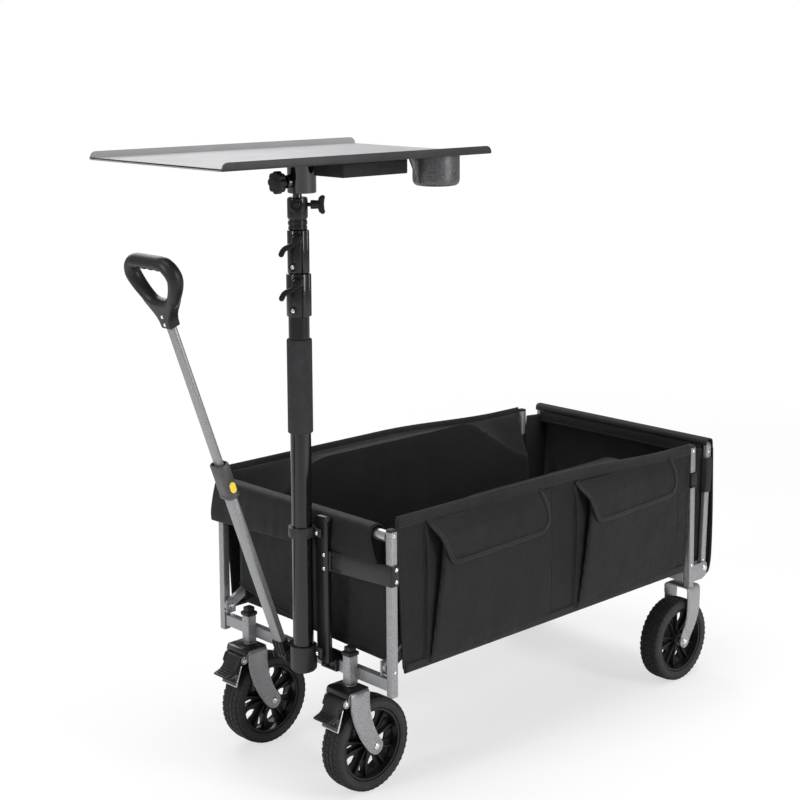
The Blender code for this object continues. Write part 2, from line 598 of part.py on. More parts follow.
def mast_bracket():
    channel = box("mast_channel", (CHANNEL_X[0], CHANNEL_Y[0], CHANNEL_Z[0]), (CHANNEL_X[1], CHANNEL_Y[1],
                  CHANNEL_Z[1]), 0.003)
    rail_top = LOWER_RAIL_Z + LOWER_RAIL_HEIGHT / 2
    shelf = box("shelf", (RAIL_FACE_X - LOWER_RAIL_DEPTH, CHANNEL_Y[0] + 0.0012, rail_top + GAP),
                (CHANNEL_X[1] - 0.001, CHANNEL_Y[1] - 0.0012, rail_top + 0.0045))
    back = RAIL_FACE_X - LOWER_RAIL_DEPTH
    saddle = box("saddle", (back + 0.0002, CHANNEL_Y[0] - 0.012, rail_top + GAP + 0.0001),
                 (RAIL_FACE_X + 0.0063, CHANNEL_Y[1] - 0.001, rail_top + 0.0040))
    lip = box("lip", (RAIL_FACE_X + GAP, CHANNEL_Y[0] - 0.012, LOWER_RAIL_Z - LOWER_RAIL_HEIGHT / 2 + 0.001),
              (RAIL_FACE_X + 0.0065, CHANNEL_Y[1] - 0.001, rail_top + 0.002))
    stem_y = FRONT_WHEEL_Y - STEM / 2 - 0.002
    upright = box("upright", (back + 0.0005, CHANNEL_Y[0] - 0.008, rail_top + 0.0025),
                  (back + 0.004, stem_y, rail_top + 0.0115))
    heel = box("heel", (back + 0.0005, CHANNEL_Y[1] - 0.002, rail_top + GAP),
               (RAIL_FACE_X - 0.001, stem_y, rail_top + 0.0035))
    holes = [rod("hole", (RAIL_FACE_X - 0.002, y, LOWER_RAIL_Z - 0.0015), (RAIL_FACE_X + 0.010, y,
                 LOWER_RAIL_Z - 0.0015), 0.0022, 12) for y in (CHANNEL_Y[0] + 0.008, CHANNEL_Y[1] - 0.008)]
    cut(join(channel, shelf, saddle, lip, upright, heel), *holes)
    keep(channel, "front_frame", PAINT_BLACK)

    middle = (RING_Z[0] + RING_Z[1]) / 2
    clamp = ring("mast_ring_clamp", (MAST_X, MAST_Y), RING_R, LOWER_TUBE_R + GAP, *RING_Z)
    ear = box("ear", (CHANNEL_X[1] + GAP, MAST_Y + RING_R - 0.005, RING_Z[0] + 0.001),
              (CHANNEL_X[1] + 0.005, CHANNEL_Y[0] + 0.020, RING_Z[1] - 0.001))
    screw_y = CHANNEL_Y[0] + 0.0115
    screw = rod("screw", (CHANNEL_X[1] + 0.004, screw_y, middle),
                (CHANNEL_X[1] + 0.0072, screw_y, middle), 0.0036, 12)
    keep(join(clamp, ear, screw), "front_frame", PAINT_BLACK)

    bore = LOWER_TUBE_R + GAP
    foot, top = SOCKET_Z
    profile = [(0.0, LOWER_TUBE_BOTTOM_Z), (bore, LOWER_TUBE_BOTTOM_Z), (bore, top), (SOCKET_R, top),
               (SOCKET_R, foot + 0.009), (SOCKET_R - 0.004, foot + 0.003), (SOCKET_R - 0.011, foot),
               (0.0, foot)]
    socket = turned("mast_socket", profile, Matrix.Translation((MAST_X, MAST_Y, 0)))
    tab = box("tab", (CHANNEL_X[1] + GAP, MAST_Y + SOCKET_R - 0.005, SOCKET_Z[1] - 0.020),
              (CHANNEL_X[1] + 0.007, CHANNEL_Y[0] + 0.021, SOCKET_Z[1] - 0.001), 0.0015)
    bolt_z = SOCKET_Z[1] - 0.010
    bolt = rod("bolt", (CHANNEL_X[1] + 0.006, CHANNEL_Y[0] + 0.0125, bolt_z),
               (CHANNEL_X[1] + 0.0105, CHANNEL_Y[0] + 0.0125, bolt_z), 0.0046, 6)
    keep(join(socket, tab, bolt), "front_frame", PAINT_BLACK)

    face = POST / 2 + GAP
    outer_y = HALF_WIDTH + GAP
    start_y = CHANNEL_Y[1] + GAP
    outline = [(CHANNEL_X[0] + 0.0062, start_y), (face + STRAP_THICKNESS, POST_INNER_Y),
               (face + STRAP_THICKNESS, outer_y + STRAP_THICKNESS), (-POST / 2, outer_y + STRAP_THICKNESS),
               (-POST / 2, outer_y), (face, outer_y), (face, POST_INNER_Y - 0.002),
               (CHANNEL_X[0] + 0.0032, start_y)]
    strap = plate("mast_strap", outline, STRAP_Z[1] - STRAP_Z[0], "XY", sum(STRAP_Z) / 2)
    for z in (STRAP_Z[0] + 0.008, STRAP_Z[1] - 0.006):
        head = rod("rivet", (-0.002, outer_y + STRAP_THICKNESS - OVERLAP, z),
                   (-0.002, outer_y + STRAP_THICKNESS + 0.0014, z), 0.0038, 12)
        join(strap, head)
    keep(strap, "front_frame", PAINT_BLACK)


def lever(name, collar_foot, collar_r, body):
    """A ratchet clamp lever, its hub on the mast's face side and its arm pointing down and away."""
    outward = Vector((math.cos(FACE_TURN), math.sin(FACE_TURN), 0))
    aside = Vector((math.sin(FACE_TURN), -math.cos(FACE_TURN), 0))
    centre = Vector((MAST_X, MAST_Y, collar_foot + LEVER_UP))
    base = collar_r + LEVER_BOSS + GAP
    hub = rod(name, centre + outward * base, centre + outward * (base + LEVER_HUB), LEVER_HUB_R, 20)
    frame = Matrix.Translation(centre + outward * (base + LEVER_HUB * 0.62)) @ Matrix((
        (aside.x, 0, -outward.x, 0), (aside.y, 0, -outward.y, 0), (0, 1, 0, 0), (0, 0, 0, 1)))
    tip = (LEVER_ARM * math.cos(math.radians(-45)), LEVER_ARM * math.sin(math.radians(-45)))
    arm = along(frame, -0.0030, 0.0030, slot_outline((0, 0), tip, LEVER_ARM_WIDTH), "arm")
    keep(join(hub, arm), body, PLASTIC)


def collar(name, foot, radius, lower_bore, upper_bore, step_z, body):
    """A clamp collar with a stepped bore, split ears and the boss that its lever turns on."""
    top = foot + COLLAR_LENGTH
    profile = [(radius, top - 0.002), (radius, foot + 0.002), (radius - 0.002, foot), (lower_bore, foot),
               (lower_bore, step_z), (upper_bore, step_z), (upper_bore, top), (radius - 0.002, top)]
    shell = turned(name, profile, Matrix.Translation((MAST_X, MAST_Y, 0)), closed=True)
    outward = Vector((math.cos(FACE_TURN), math.sin(FACE_TURN), 0))
    hub = Vector((MAST_X, MAST_Y, foot + LEVER_UP))
    boss = rod("boss", hub + outward * (radius - 0.002), hub + outward * (radius + LEVER_BOSS),
               LEVER_HUB_R + OVERLAP, 20)
    low = Vector((MAST_X, MAST_Y, foot + 0.012))
    bolt = rod("bolt", low + outward * (radius - 0.002), low + outward * (radius + 0.0022), 0.0045, 12)
    keep(join(shell, boss, bolt), body, PAINT_BLACK)


def mast():
    centre = (MAST_X, MAST_Y)
    keep(ring("mast_lower_tube", centre, LOWER_TUBE_R, LOWER_TUBE_R - LOWER_TUBE_WALL,
              LOWER_TUBE_BOTTOM_Z + GAP, LOWER_TUBE_TOP_Z), "front_frame", PAINT_BLACK)
    keep(ring("foam_grip", centre, GRIP_R, LOWER_TUBE_R + GAP, *GRIP_Z), "front_frame", FOAM)
    collar("mast_lower_collar", LOWER_COLLAR_BOTTOM_Z, LOWER_COLLAR_R, LOWER_TUBE_R + GAP,
           MIDDLE_TUBE_R + GAP, LOWER_TUBE_TOP_Z + GAP, "front_frame")
    middle_top = UPPER_COLLAR_BOTTOM_Z + 0.012
    keep(ring("mast_middle_tube", centre, MIDDLE_TUBE_R, MIDDLE_TUBE_R - MIDDLE_TUBE_WALL,
              MIDDLE_TUBE_BOTTOM_Z, middle_top), "mast_middle", PAINT_BLACK)
    collar("mast_upper_collar", UPPER_COLLAR_BOTTOM_Z, UPPER_COLLAR_R, MIDDLE_TUBE_R + GAP, TOP_TUBE_R + GAP,
           middle_top + GAP, "mast_middle")
    tube_top = HEAD_BOTTOM_Z + 0.012
    keep(rod("mast_top_tube", (*centre, TOP_TUBE_BOTTOM_Z), (*centre, tube_top), TOP_TUBE_R, 32), "mast_top",
         PAINT_BLACK)
    bore_floor = HEAD_TOP_Z - SPIGOT_DEPTH - OVERLAP
    neck_z = HEAD_BOTTOM_Z + 0.020
    profile = [(SPIGOT_R + GAP, bore_floor), (SPIGOT_R + GAP, HEAD_TOP_Z), (HEAD_R, HEAD_TOP_Z),
               (HEAD_R, neck_z + 0.003), (HEAD_R - 0.0015, neck_z), (HEAD_R - 0.0008, neck_z - 0.003),
               (HEAD_R - 0.0008, HEAD_BOTTOM_Z + 0.002), (HEAD_R - 0.0030, HEAD_BOTTOM_Z),
               (TOP_TUBE_R + GAP, HEAD_BOTTOM_Z), (TOP_TUBE_R + GAP, tube_top + GAP), (0.0, tube_top + GAP)]
    head = turned("mast_head", [(0.0, bore_floor)] + profile, Matrix.Translation((*centre, 0)))
    outward = Vector((math.cos(FACE_TURN), math.sin(FACE_TURN), 0))
    middle = Vector((*centre, HEAD_BOTTOM_Z + KNOB_UP))
    button = rod("button", middle + outward * (HEAD_R - 0.003), middle + outward * (HEAD_R + 0.0015),
                 HEAD_BUTTON_R, 16)
    keep(join(head, button), "mast_top", PAINT_BLACK)

    aside = Vector((math.cos(KNOB_TURN), math.sin(KNOB_TURN), 0))
    start, end = KNOB_REACH
    stem = rod("head_wing_knob", middle + aside * (HEAD_R + GAP), middle + aside * (start + 0.002),
               SCREW_R, 16)
    hub = rod("hub", middle + aside * start, middle + aside * (end - 0.004), 0.0070, 20, 0.0055)
    across = Vector((aside.y, -aside.x, 0))
    frame = Matrix.Translation(middle) @ Matrix((
        (aside.x, 0, across.x, 0), (aside.y, 0, across.y, 0), (0, 1, 0, 0), (0, 0, 0, 1)))
    half = WING_SPAN / 2
    wing = [(start + 0.004, -0.004), (start + 0.006, -half), (end - 0.003, -half), (end, -half + 0.006),
            (end - 0.001, half - 0.006), (end - 0.004, half), (start + 0.006, half), (start + 0.004, 0.004)]
    keep(join(stem, hub, along(frame, -0.0028, 0.0028, wing, "wing")), "head_wing_knob_turn", PLASTIC)


def tray_assembly():
    centre = (MAST_X, MAST_Y)
    under = TRAY_Z - GAP
    spigot_foot = HEAD_TOP_Z - SPIGOT_DEPTH
    profile = [(0.0, under), (TRAY_SOCKET_R, under), (TRAY_SOCKET_R, TRAY_SOCKET_BOTTOM_Z),
               (SPIGOT_R, TRAY_SOCKET_BOTTOM_Z), (SPIGOT_R, spigot_foot), (0.0, spigot_foot)]
    socket = turned("tray_socket", profile, Matrix.Translation((*centre, 0)))
    boss = rod("boss", (MAST_X + TRAY_SOCKET_R - 0.006, MAST_Y, STAR_KNOB_Z),
               (MAST_X + STAR_BOSS_X, MAST_Y, STAR_KNOB_Z), STAR_BOSS_R, 24)
    keep(join(socket, boss), "tray_turn", PAINT_BLACK)

    screw = rod("tray_star_knob", (MAST_X + STAR_BOSS_X + GAP, MAST_Y, STAR_KNOB_Z),
                (MAST_X + STAR_KNOB_X[0] + OVERLAP, MAST_Y, STAR_KNOB_Z), SCREW_R, 16)
    lobes = []
    for i in range(48):
        turn = 2 * math.pi * i / 48
        radius = STAR_KNOB_R * (1 - STAR_LOBE + STAR_LOBE * math.cos(STAR_LOBES * turn))
        lobes.append((MAST_Y + radius * math.cos(turn), STAR_KNOB_Z + radius * math.sin(turn)))
    star = plate("star", lobes, STAR_KNOB_X[1] - STAR_KNOB_X[0], "YZ", MAST_X + sum(STAR_KNOB_X) / 2)
    keep(join(screw, star), "tray_star_knob_turn", PLASTIC)

    x0 = TRAY_CENTRE[0] - TRAY_LENGTH / 2
    x1 = TRAY_CENTRE[0] + TRAY_LENGTH / 2
    y0 = TRAY_CENTRE[1] - TRAY_WIDTH / 2
    y1 = TRAY_CENTRE[1] + TRAY_WIDTH / 2
    top = TRAY_Z + TRAY_FLANGE
    sheet = box("tray", (x0, y0, TRAY_Z), (x1, y1, TRAY_Z + TRAY_SHEET))
    r = TRAY_CORNER_R
    outline = ([(x0, TRAY_Z + 0.0005), (x1, TRAY_Z + 0.0005)] + arc(x1 - r, top - r, r, 0, 90, 5)
               + arc(x0 + r, top - r, r, 90, 180, 5))
    for y in (y0 + TRAY_SHEET / 2, y1 - TRAY_SHEET / 2):
        join(sheet, plate("flange", outline, TRAY_SHEET - 0.0002, "XZ", y))
    cut(sheet, rod("cup_hole", (*CUP_CENTRE, TRAY_Z - 0.002), (*CUP_CENTRE, TRAY_Z + 0.006),
                   CUP_R - CUP_WALL, 40))
    keep(sheet, "tray_turn", PAINT_GREY)

    length, width, depth = TRAY_BOX
    bx, by = TRAY_BOX_CORNER
    keep(box("tray_device_box", (bx - length, by - width, under - depth), (bx, by, under), 0.003),
         "tray_turn", PLASTIC)

    inner = CUP_R - CUP_WALL
    floor = CUP_BOTTOM_Z + CUP_FLOOR
    profile = [(0.0, floor), (inner, floor), (inner, under), (CUP_R, under), (CUP_R, CUP_BOTTOM_Z + 0.002),
               (CUP_R - 0.002, CUP_BOTTOM_Z), (0.0, CUP_BOTTOM_Z)]
    cup = turned("cup_holder", profile, Matrix.Translation((*CUP_CENTRE, 0)), 40)
    cx, cy = CUP_CENTRE
    half = CUP_FLANGE_WIDTH / 2
    flange = box("flange", (cx - CUP_FLANGE[0], cy - half, under - CUP_FLANGE_SHEET),
                 (cx + CUP_FLANGE[1], cy + half, under - 0.0001))
    hole = rod("hole", (cx, cy, under - 0.010), (cx, cy, under + 0.010), CUP_R - CUP_WALL / 2, 40)
    flange = cut(flange, hole)
    root = cx + CUP_R - CUP_WALL / 2
    gusset = plate("gusset", [(root, under - OVERLAP), (cx + CUP_FLANGE[1] - CUP_WALL / 2, under - OVERLAP),
                              (root + 2 * CUP_WALL, CUP_BOTTOM_Z + CUP_GUSSET_UP),
                              (root, CUP_BOTTOM_Z + OVERLAP)], GUSSET, "XZ", cy)
    keep(join(cup, flange, gusset), "tray_turn", PAINT_GREY)


def handle():
    pivot = Vector((HANDLE_X, 0, HANDLE_Z))
    frame = Matrix.Translation(pivot) @ Matrix.Rotation(HANDLE_LEAN, 4, "Y")
    depth, width = HANDLE_LOWER_SECTION
    ear_in = width / 2 + 0.0010
    rail_bottom = LOWER_RAIL_Z - LOWER_RAIL_HEIGHT / 2
    block = box("handle_bracket", (RAIL_FACE_X + GAP, -ear_in - HANDLE_EAR, rail_bottom),
                (HANDLE_BASE_X, ear_in + HANDLE_EAR, HANDLE_Z + 0.014), 0.003)
    for side, label in SIDES:
        outline = slot_outline((HANDLE_BASE_X - 0.004, HANDLE_Z - 0.002), (HANDLE_X, HANDLE_Z),
                               HANDLE_EAR_WIDTH)
        ear = plate("ear", outline, HANDLE_EAR, "XZ", side * (ear_in + HANDLE_EAR / 2))
        join(block, ear)
    pin_end = ear_in + HANDLE_EAR + 0.002
    join(block, rod("pin", (HANDLE_X, -pin_end, HANDLE_Z), (HANDLE_X, pin_end, HANDLE_Z), HANDLE_PIN_R, 16))
    keep(block, "front_frame", PLASTIC)

    half = depth / 2
    outer = rounded_section(depth, width, 0.0045)
    tube = along(frame, 0.0, HANDLE_LOWER_END, outer, "handle_lower_tube")
    heel_y = width / 2 - 0.0002
    heel = rod("heel", (HANDLE_X, -heel_y, HANDLE_Z), (HANDLE_X, heel_y, HANDLE_Z), half - 0.0002, 24)
    wall = HANDLE_LOWER_WALL
    inside = along(frame, 0.012, HANDLE_LOWER_END + 0.01,
                   rounded_section(depth - 2 * wall, width - 2 * wall, 0.0035), "inside")
    hole = rod("hole", (HANDLE_X, -0.03, HANDLE_Z), (HANDLE_X, 0.03, HANDLE_Z), HANDLE_PIN_R + GAP, 16)
    keep(cut(join(tube, heel), inside, hole), "handle_swing", PAINT_GREY)

    low, high = HANDLE_COLLAR
    c_depth, c_width = HANDLE_COLLAR_SECTION
    shell = along(frame, low, high, rounded_section(c_depth, c_width, 0.0105, 6), "handle_collar")
    upper_depth, upper_width = HANDLE_UPPER_SECTION
    lower_seat = along(frame, low - 0.01, HANDLE_LOWER_END + GAP,
                       rounded_section(depth + 2 * GAP, width + 2 * GAP, 0.0045), "lower_seat")
    upper_seat = along(frame, low + 0.001, high + 0.01,
                       rounded_section(upper_depth + 2 * GAP, upper_width + 2 * GAP, 0.0045), "upper_seat")
    face = c_width / 2
    b_width, b_length = BUTTON_SIZE
    button_frame = Matrix.Translation(frame @ Vector((0, face, BUTTON_ALONG))) @ Matrix.Rotation(
        HANDLE_LEAN, 4, "Y") @ PLANES["XZ"]
    reach = (b_length - b_width) / 2
    recess_depth = BUTTON_DEPTH - BUTTON_PROUD + BUTTON_TRAVEL + GAP
    recess = along(button_frame, -0.01, recess_depth,
                   slot_outline((0, -reach), (0, reach), b_width + 2 * GAP, 9), "recess")
    keep(cut(shell, lower_seat, upper_seat, recess), "handle_swing", PLASTIC)
    button = along(button_frame, -BUTTON_PROUD, BUTTON_DEPTH - BUTTON_PROUD,
                   slot_outline((0, -reach), (0, reach), b_width, 9), "release_button")
    keep(button, "release_button_press", YELLOW)

    upper = along(frame, HANDLE_UPPER_START, HANDLE_NECK + 0.016,
                  rounded_section(upper_depth, upper_width, 0.0042), "handle_upper_tube")
    keep(upper, "handle_extend", PAINT_GREY)
    neck = along(frame, HANDLE_NECK, HANDLE_NECK + GRIP_NECK_LENGTH, rounded_section(*GRIP_NECK, 0.006),
                 "handle_grip")
    seat = along(frame, HANDLE_NECK - 0.01, HANDLE_NECK + 0.016 + GAP,
                 rounded_section(upper_depth + 2 * GAP, upper_width + 2 * GAP, 0.0042), "seat")
    half = GRIP_LOOP_WIDTH / 2
    top = HANDLE_NECK + GRIP_LOOP_TOP
    bottom = HANDLE_NECK + GRIP_NECK_LENGTH - 0.006
    r = GRIP_LOOP_BEND
    loop = (arc(half - r, top - r, r, -20, 90, 6) + arc(-half + r, top - r, r, 90, 200, 6)
            + [(-0.016, bottom), (0.016, bottom)])
    ring_piece = bent_tube("loop", [frame @ Vector((0, y, z)) for y, z in loop], GRIP_LOOP_R, 2, cyclic=True)
    keep(join(cut(neck, seat), ring_piece), "handle_extend", PLASTIC)


def arm_outline(top, bend, eye, top_width, eye_radius, steps=6):
    """The side of a fork's arm: a curved strip from the top plate down to a round eye."""
    top = Vector(top)
    bend = Vector(bend)
    eye = Vector(eye)
    left = []
    right = []
    for i in range(steps):
        t = i / (steps - 1) * 0.93
        middle = top * (1 - t) ** 2 + bend * 2 * t * (1 - t) + eye * t ** 2
        ahead = (bend - top) * (1 - t) + (eye - bend) * t
        normal = Vector((-ahead.y, ahead.x)).normalized()
        half = top_width / 2 * (1 - t) + eye_radius * t
        left.append(tuple(middle + normal * half))
        right.append(tuple(middle - normal * half))
    turn = math.degrees(math.atan2((eye - bend).y, (eye - bend).x))
    return left + arc(eye.x, eye.y, eye_radius, turn + 85, turn - 85, 6) + right[::-1]


def fork(name, x_range, pivot_x, wheel_y, axle_x, body, extras, bend):
    """A bent yoke: top plate, two arms and the axle between them."""
    half = FORK_INSIDE / 2 + FORK_WALL
    yoke = box(name, (pivot_x + x_range[0], wheel_y - half, FORK_TOP_Z - FORK_WALL),
               (pivot_x + x_range[1], wheel_y + half, FORK_TOP_Z), 0.0015)
    top_x = pivot_x + sum(x_range) / 2
    width = x_range[1] - x_range[0] - 0.003
    outline = arm_outline((top_x, FORK_TOP_Z - 0.0015), (top_x, FORK_TOP_Z - bend), (axle_x, WHEEL_R),
                          width, EYE_R)
    for end in (-1, 1):
        join(yoke, plate("arm", outline, FORK_WALL - 0.0004, "XZ", wheel_y + end * (half - FORK_WALL / 2)))
    reach = half + 0.0014
    join(yoke, rod("axle", (axle_x, wheel_y - reach, WHEEL_R), (axle_x, wheel_y + reach, WHEEL_R),
                   AXLE_R, 16))
    join(yoke, *extras)
    keep(yoke, body, PAINT_GREY)


def wheel(label, y, x, body):
    to_side = Matrix.Translation((x, y, WHEEL_R)) @ Matrix.Rotation(math.radians(90), 4, "X")
    half = TYRE_WIDTH / 2
    bore = TYRE_BORE_R
    profile = [(WHEEL_R, half * 0.55), (WHEEL_R, -half * 0.55), (WHEEL_R - 0.0035, -half * 0.92),
               (WHEEL_R - 0.011, -half), (bore, -half * 0.90), (bore, half * 0.90),
               (WHEEL_R - 0.011, half), (WHEEL_R - 0.0035, half * 0.92)]
    keep(turned(label + "_tyre", profile, to_side, WHEEL_STEPS, closed=True), body, RUBBER)

    rim_r = bore - GAP
    half = RIM_WIDTH / 2
    inner = rim_r - RIM_WALL
    profile = [(rim_r, half), (rim_r, -half), (inner, -half), (inner, half)]
    rim = turned(label + "_rim", profile, to_side, WHEEL_STEPS, closed=True)
    bore_r = AXLE_R + GAP
    profile = [(HUB_R, half), (HUB_R, -half), (bore_r, -half), (bore_r, half)]
    hub = turned("hub", profile, to_side, 16, closed=True)
    join(rim, hub)
    for i in range(SPOKES):
        turn = 2 * math.pi * i / SPOKES
        start = HUB_R
        end = inner + 0.002 - SPOKE_WIDTH / 2
        a = (x + start * math.cos(turn), WHEEL_R + start * math.sin(turn))
        b = (x + end * math.cos(turn + 0.28), WHEEL_R + end * math.sin(turn + 0.28))
        join(rim, plate("spoke", slot_outline(a, b, SPOKE_WIDTH, 3), SPOKE_THICKNESS, "XZ", y))
    keep(rim, body, PLASTIC)


def casters():
    for side, label in SIDES:
        y = side * FRONT_WHEEL_Y
        body = "caster_" + label
        pivot_x = STEM_X + PEDAL_PIVOT[0]
        pivot_z = PEDAL_PIVOT[1]
        pin = rod("kingpin", (STEM_X, y, FORK_TOP_Z - OVERLAP), (STEM_X, y, STEM_BOTTOM_Z + 0.028),
                  SWIVEL_R, 20)
        washer = rod("washer", (STEM_X, y, FORK_TOP_Z - OVERLAP), (STEM_X, y, STEM_BOTTOM_Z - GAP), 0.0115, 20)
        extras = [pin, washer]
        ear_y = PEDAL_WIDTH / 2 + 0.0006
        for end in (-1, 1):
            outline = slot_outline((STEM_X + 0.018, FORK_TOP_Z - 0.009), (pivot_x, pivot_z), 0.0145)
            extras.append(plate("ear", outline, 0.0025, "XZ", y + end * (ear_y + 0.00125)))
        fork("caster_fork_" + label, FRONT_FORK_X, STEM_X, y, FRONT_AXLE_X, body, extras, FRONT_FORK_BEND)
        yoke = parts.objects["caster_fork_" + label]
        hole_end = FORK_INSIDE / 2
        hole = rod("pin_hole", (pivot_x, y - hole_end, pivot_z), (pivot_x, y + hole_end, pivot_z),
                   PEDAL_PIN_R + GAP, 16)
        cut(yoke, hole)
        attach(hole, body)
        wheel("front_" + label, y, FRONT_AXLE_X, "front_wheel_" + label)

        x = pivot_x
        z = pivot_z
        profile = [(x - 0.0050, z + 0.0065), (x + 0.0060, z + 0.0060), (x + 0.0130, z - 0.0090),
                   (x + 0.0300, z - 0.0240), (x + 0.0430, z - 0.0290), (x + 0.0425, z - 0.0325),
                   (x + 0.0260, z - 0.0310), (x + 0.0130, z - 0.0240), (x + 0.0120, z - 0.0430),
                   (x + 0.0100, z - 0.0430), (x + 0.0060, z - 0.0200), (x - 0.0060, z - 0.0060)]
        pedal = plate("brake_pedal_" + label, profile, PEDAL_WIDTH, "XZ", y)
        reach = PEDAL_WIDTH / 2 + 0.0036
        join(pedal, rod("pin", (x, y - reach, z), (x, y + reach, z), PEDAL_PIN_R, 16))
        keep(pedal, "brake_pedal_press_" + label, PLASTIC)


def link(name, side, start, end, y, body, holes, pins):
    """A flat link between two pivots, with round ends; pins are (point, inner y, outer y, radius)."""
    bar = plate(name, slot_outline(start, end, LINK_HEIGHT), LINK_THICKNESS, "XZ", side * y)
    for (x, z), inner, outer, radius in pins:
        join(bar, rod("pin", (x, side * inner, z), (x, side * outer, z), radius, 16))
    for (x, z), radius in holes:
        cut(bar, rod("hole", (x, side * (y - 0.02), z), (x, side * (y + 0.02), z), radius, 16))
    return keep(bar, body, PAINT_GREY)


def side_links():
    front = (0.0, LINK_PIVOT_Z)
    apex = (-LINK_HALF_SPAN, APEX_Z)
    rear = (REAR_X, LINK_PIVOT_Z)
    front_mid = (-LINK_HALF_SPAN / 2, (LINK_PIVOT_Z + APEX_Z) / 2)
    rear_mid = (REAR_X + LINK_HALF_SPAN / 2, (LINK_PIVOT_Z + APEX_Z) / 2)
    middle = (-LINK_HALF_SPAN, LINK_PIVOT_Z)
    bore = LINK_PIN_R + GAP
    half = LINK_THICKNESS / 2
    wall_inner = HALF_WIDTH - SIDE_SETBACK - FABRIC
    for side, label in SIDES:
        pins = ((apex, INNER_LINK_Y - half, OUTER_LINK_Y + 2 * OVERLAP, LINK_PIN_R),
                (apex, OUTER_LINK_Y, wall_inner - GAP, LINK_PIN_R + 0.002),
                (front_mid, INNER_LINK_Y - half, OUTER_LINK_Y, LINK_PIN_R))
        link("rising_link_front_" + label, side, front, apex, OUTER_LINK_Y, "fold_front_" + label,
             ((front, bore),), pins)
        pins = ((rear_mid, STAY_LINK_Y - half, INNER_LINK_Y, LINK_PIN_R),)
        link("rising_link_rear_" + label, side, apex, rear, INNER_LINK_Y, "fold_rear_" + label,
             ((apex, bore), (rear, bore)), pins)
    stay = None
    for side, label in SIDES:
        arm = plate("floor_stay_front" if stay is None else "arm",
                    slot_outline(front_mid, middle, LINK_HEIGHT), LINK_THICKNESS, "XZ", side * INNER_LINK_Y)
        cut(arm, rod("hole", (front_mid[0], side * (INNER_LINK_Y - 0.02), front_mid[1]),
                     (front_mid[0], side * (INNER_LINK_Y + 0.02), front_mid[1]), bore, 16))
        stay = arm if stay is None else join(stay, arm)
    tube_end = STAY_LINK_Y - half - LINK_PLANE_GAP
    axle = rod("axle", (middle[0], -INNER_LINK_Y, middle[1]), (middle[0], INNER_LINK_Y, middle[1]),
               STAY_PIN_R, 16)
    tube = rod("tube", (middle[0], -tube_end, middle[1]), (middle[0], tube_end, middle[1]), CROSS_TUBE_R, 20)
    join(stay, axle, tube)
    keep(stay, "stay_front", PAINT_GREY)

    lean = Vector((middle[0] - rear_mid[0], middle[1] - rear_mid[1])).normalized()
    tail = (middle[0] + lean.x * STAY_TAIL, middle[1] + lean.y * STAY_TAIL)
    stay = None
    for side, label in SIDES:
        arm = plate("floor_stay_rear" if stay is None else "arm", slot_outline(rear_mid, tail, LINK_HEIGHT),
                    LINK_THICKNESS, "XZ", side * STAY_LINK_Y)
        for (x, z), radius in ((rear_mid, bore), (middle, STAY_PIN_R + GAP)):
            cut(arm, rod("hole", (x, side * (STAY_LINK_Y - 0.02), z), (x, side * (STAY_LINK_Y + 0.02), z),
                         radius, 16))
        stay = arm if stay is None else join(stay, arm)
    join(stay, rod("tube", (tail[0], -STAY_LINK_Y, tail[1]), (tail[0], STAY_LINK_Y, tail[1]), 0.0065, 20))
    keep(stay, "stay_rear", PAINT_GREY)


def rear_end():
    ear_y = INNER_LINK_Y - LINK_THICKNESS / 2 - CLEVIS_GAP
    bar_out = GATE_HALF_WIDTH
    bar_in = GATE_HALF_WIDTH - GATE_BAR_Y
    back = REAR_X - POST / 2
    for side, label in SIDES:
        low, high = y_span(side, POST_INNER_Y - CATCH_WALL, HALF_WIDTH + CATCH_WALL)
        clip = box("clip", (back - CATCH_WALL, low, CATCH_Z[0]), (REAR_X + 0.002, high, CATCH_Z[1]), 0.001)
        pieces = [clip]
        ear_in = bar_in - GATE_EAR_GAP
        ear_out = bar_out + GATE_EAR_GAP
        for inner, outer in ((ear_out, ear_out + GATE_EAR), (ear_in - GATE_EAR, ear_in)):
            low, high = y_span(side, inner, outer)
            pieces.append(box("ear", (GATE_X - GATE_EAR_BACK, low, GATE_PIVOT_Z - GATE_EAR_DOWN),
                              (back + 2 * OVERLAP, high, GATE_PIVOT_Z + GATE_EAR_UP)))
        low, high = y_span(side, ear_in - GATE_EAR + OVERLAP, ear_out + GATE_EAR - OVERLAP)
        pieces.append(box("web", (GATE_X + GATE_WEB_AHEAD, low, GATE_PIVOT_Z - GATE_EAR_DOWN + OVERLAP),
                          (back + OVERLAP, high, GATE_PIVOT_Z + GATE_EAR_UP - OVERLAP)))
        pieces.append(rod("pin", (GATE_X, side * (ear_in - GATE_EAR / 2), GATE_PIVOT_Z),
                          (GATE_X, side * (ear_out + 2 * GATE_EAR), GATE_PIVOT_Z), GATE_PIN_R, 16))
        post("rear_post_" + label, side, REAR_X, FORK_TOP_Z + GAP, ear_y, "rear_frame", pieces)
        fork("rear_fork_" + label, REAR_FORK_X, REAR_X, side * REAR_WHEEL_Y, REAR_AXLE_X, "rear_frame", (),
             REAR_FORK_BEND)
        wheel("rear_" + label, side * REAR_WHEEL_Y, REAR_AXLE_X, "rear_wheel_" + label)
    face = REAR_X - POST / 2 + LOWER_RAIL_SETBACK
    lower_rail("rear_lower_rail", face, face + LOWER_RAIL_DEPTH, "rear_frame")


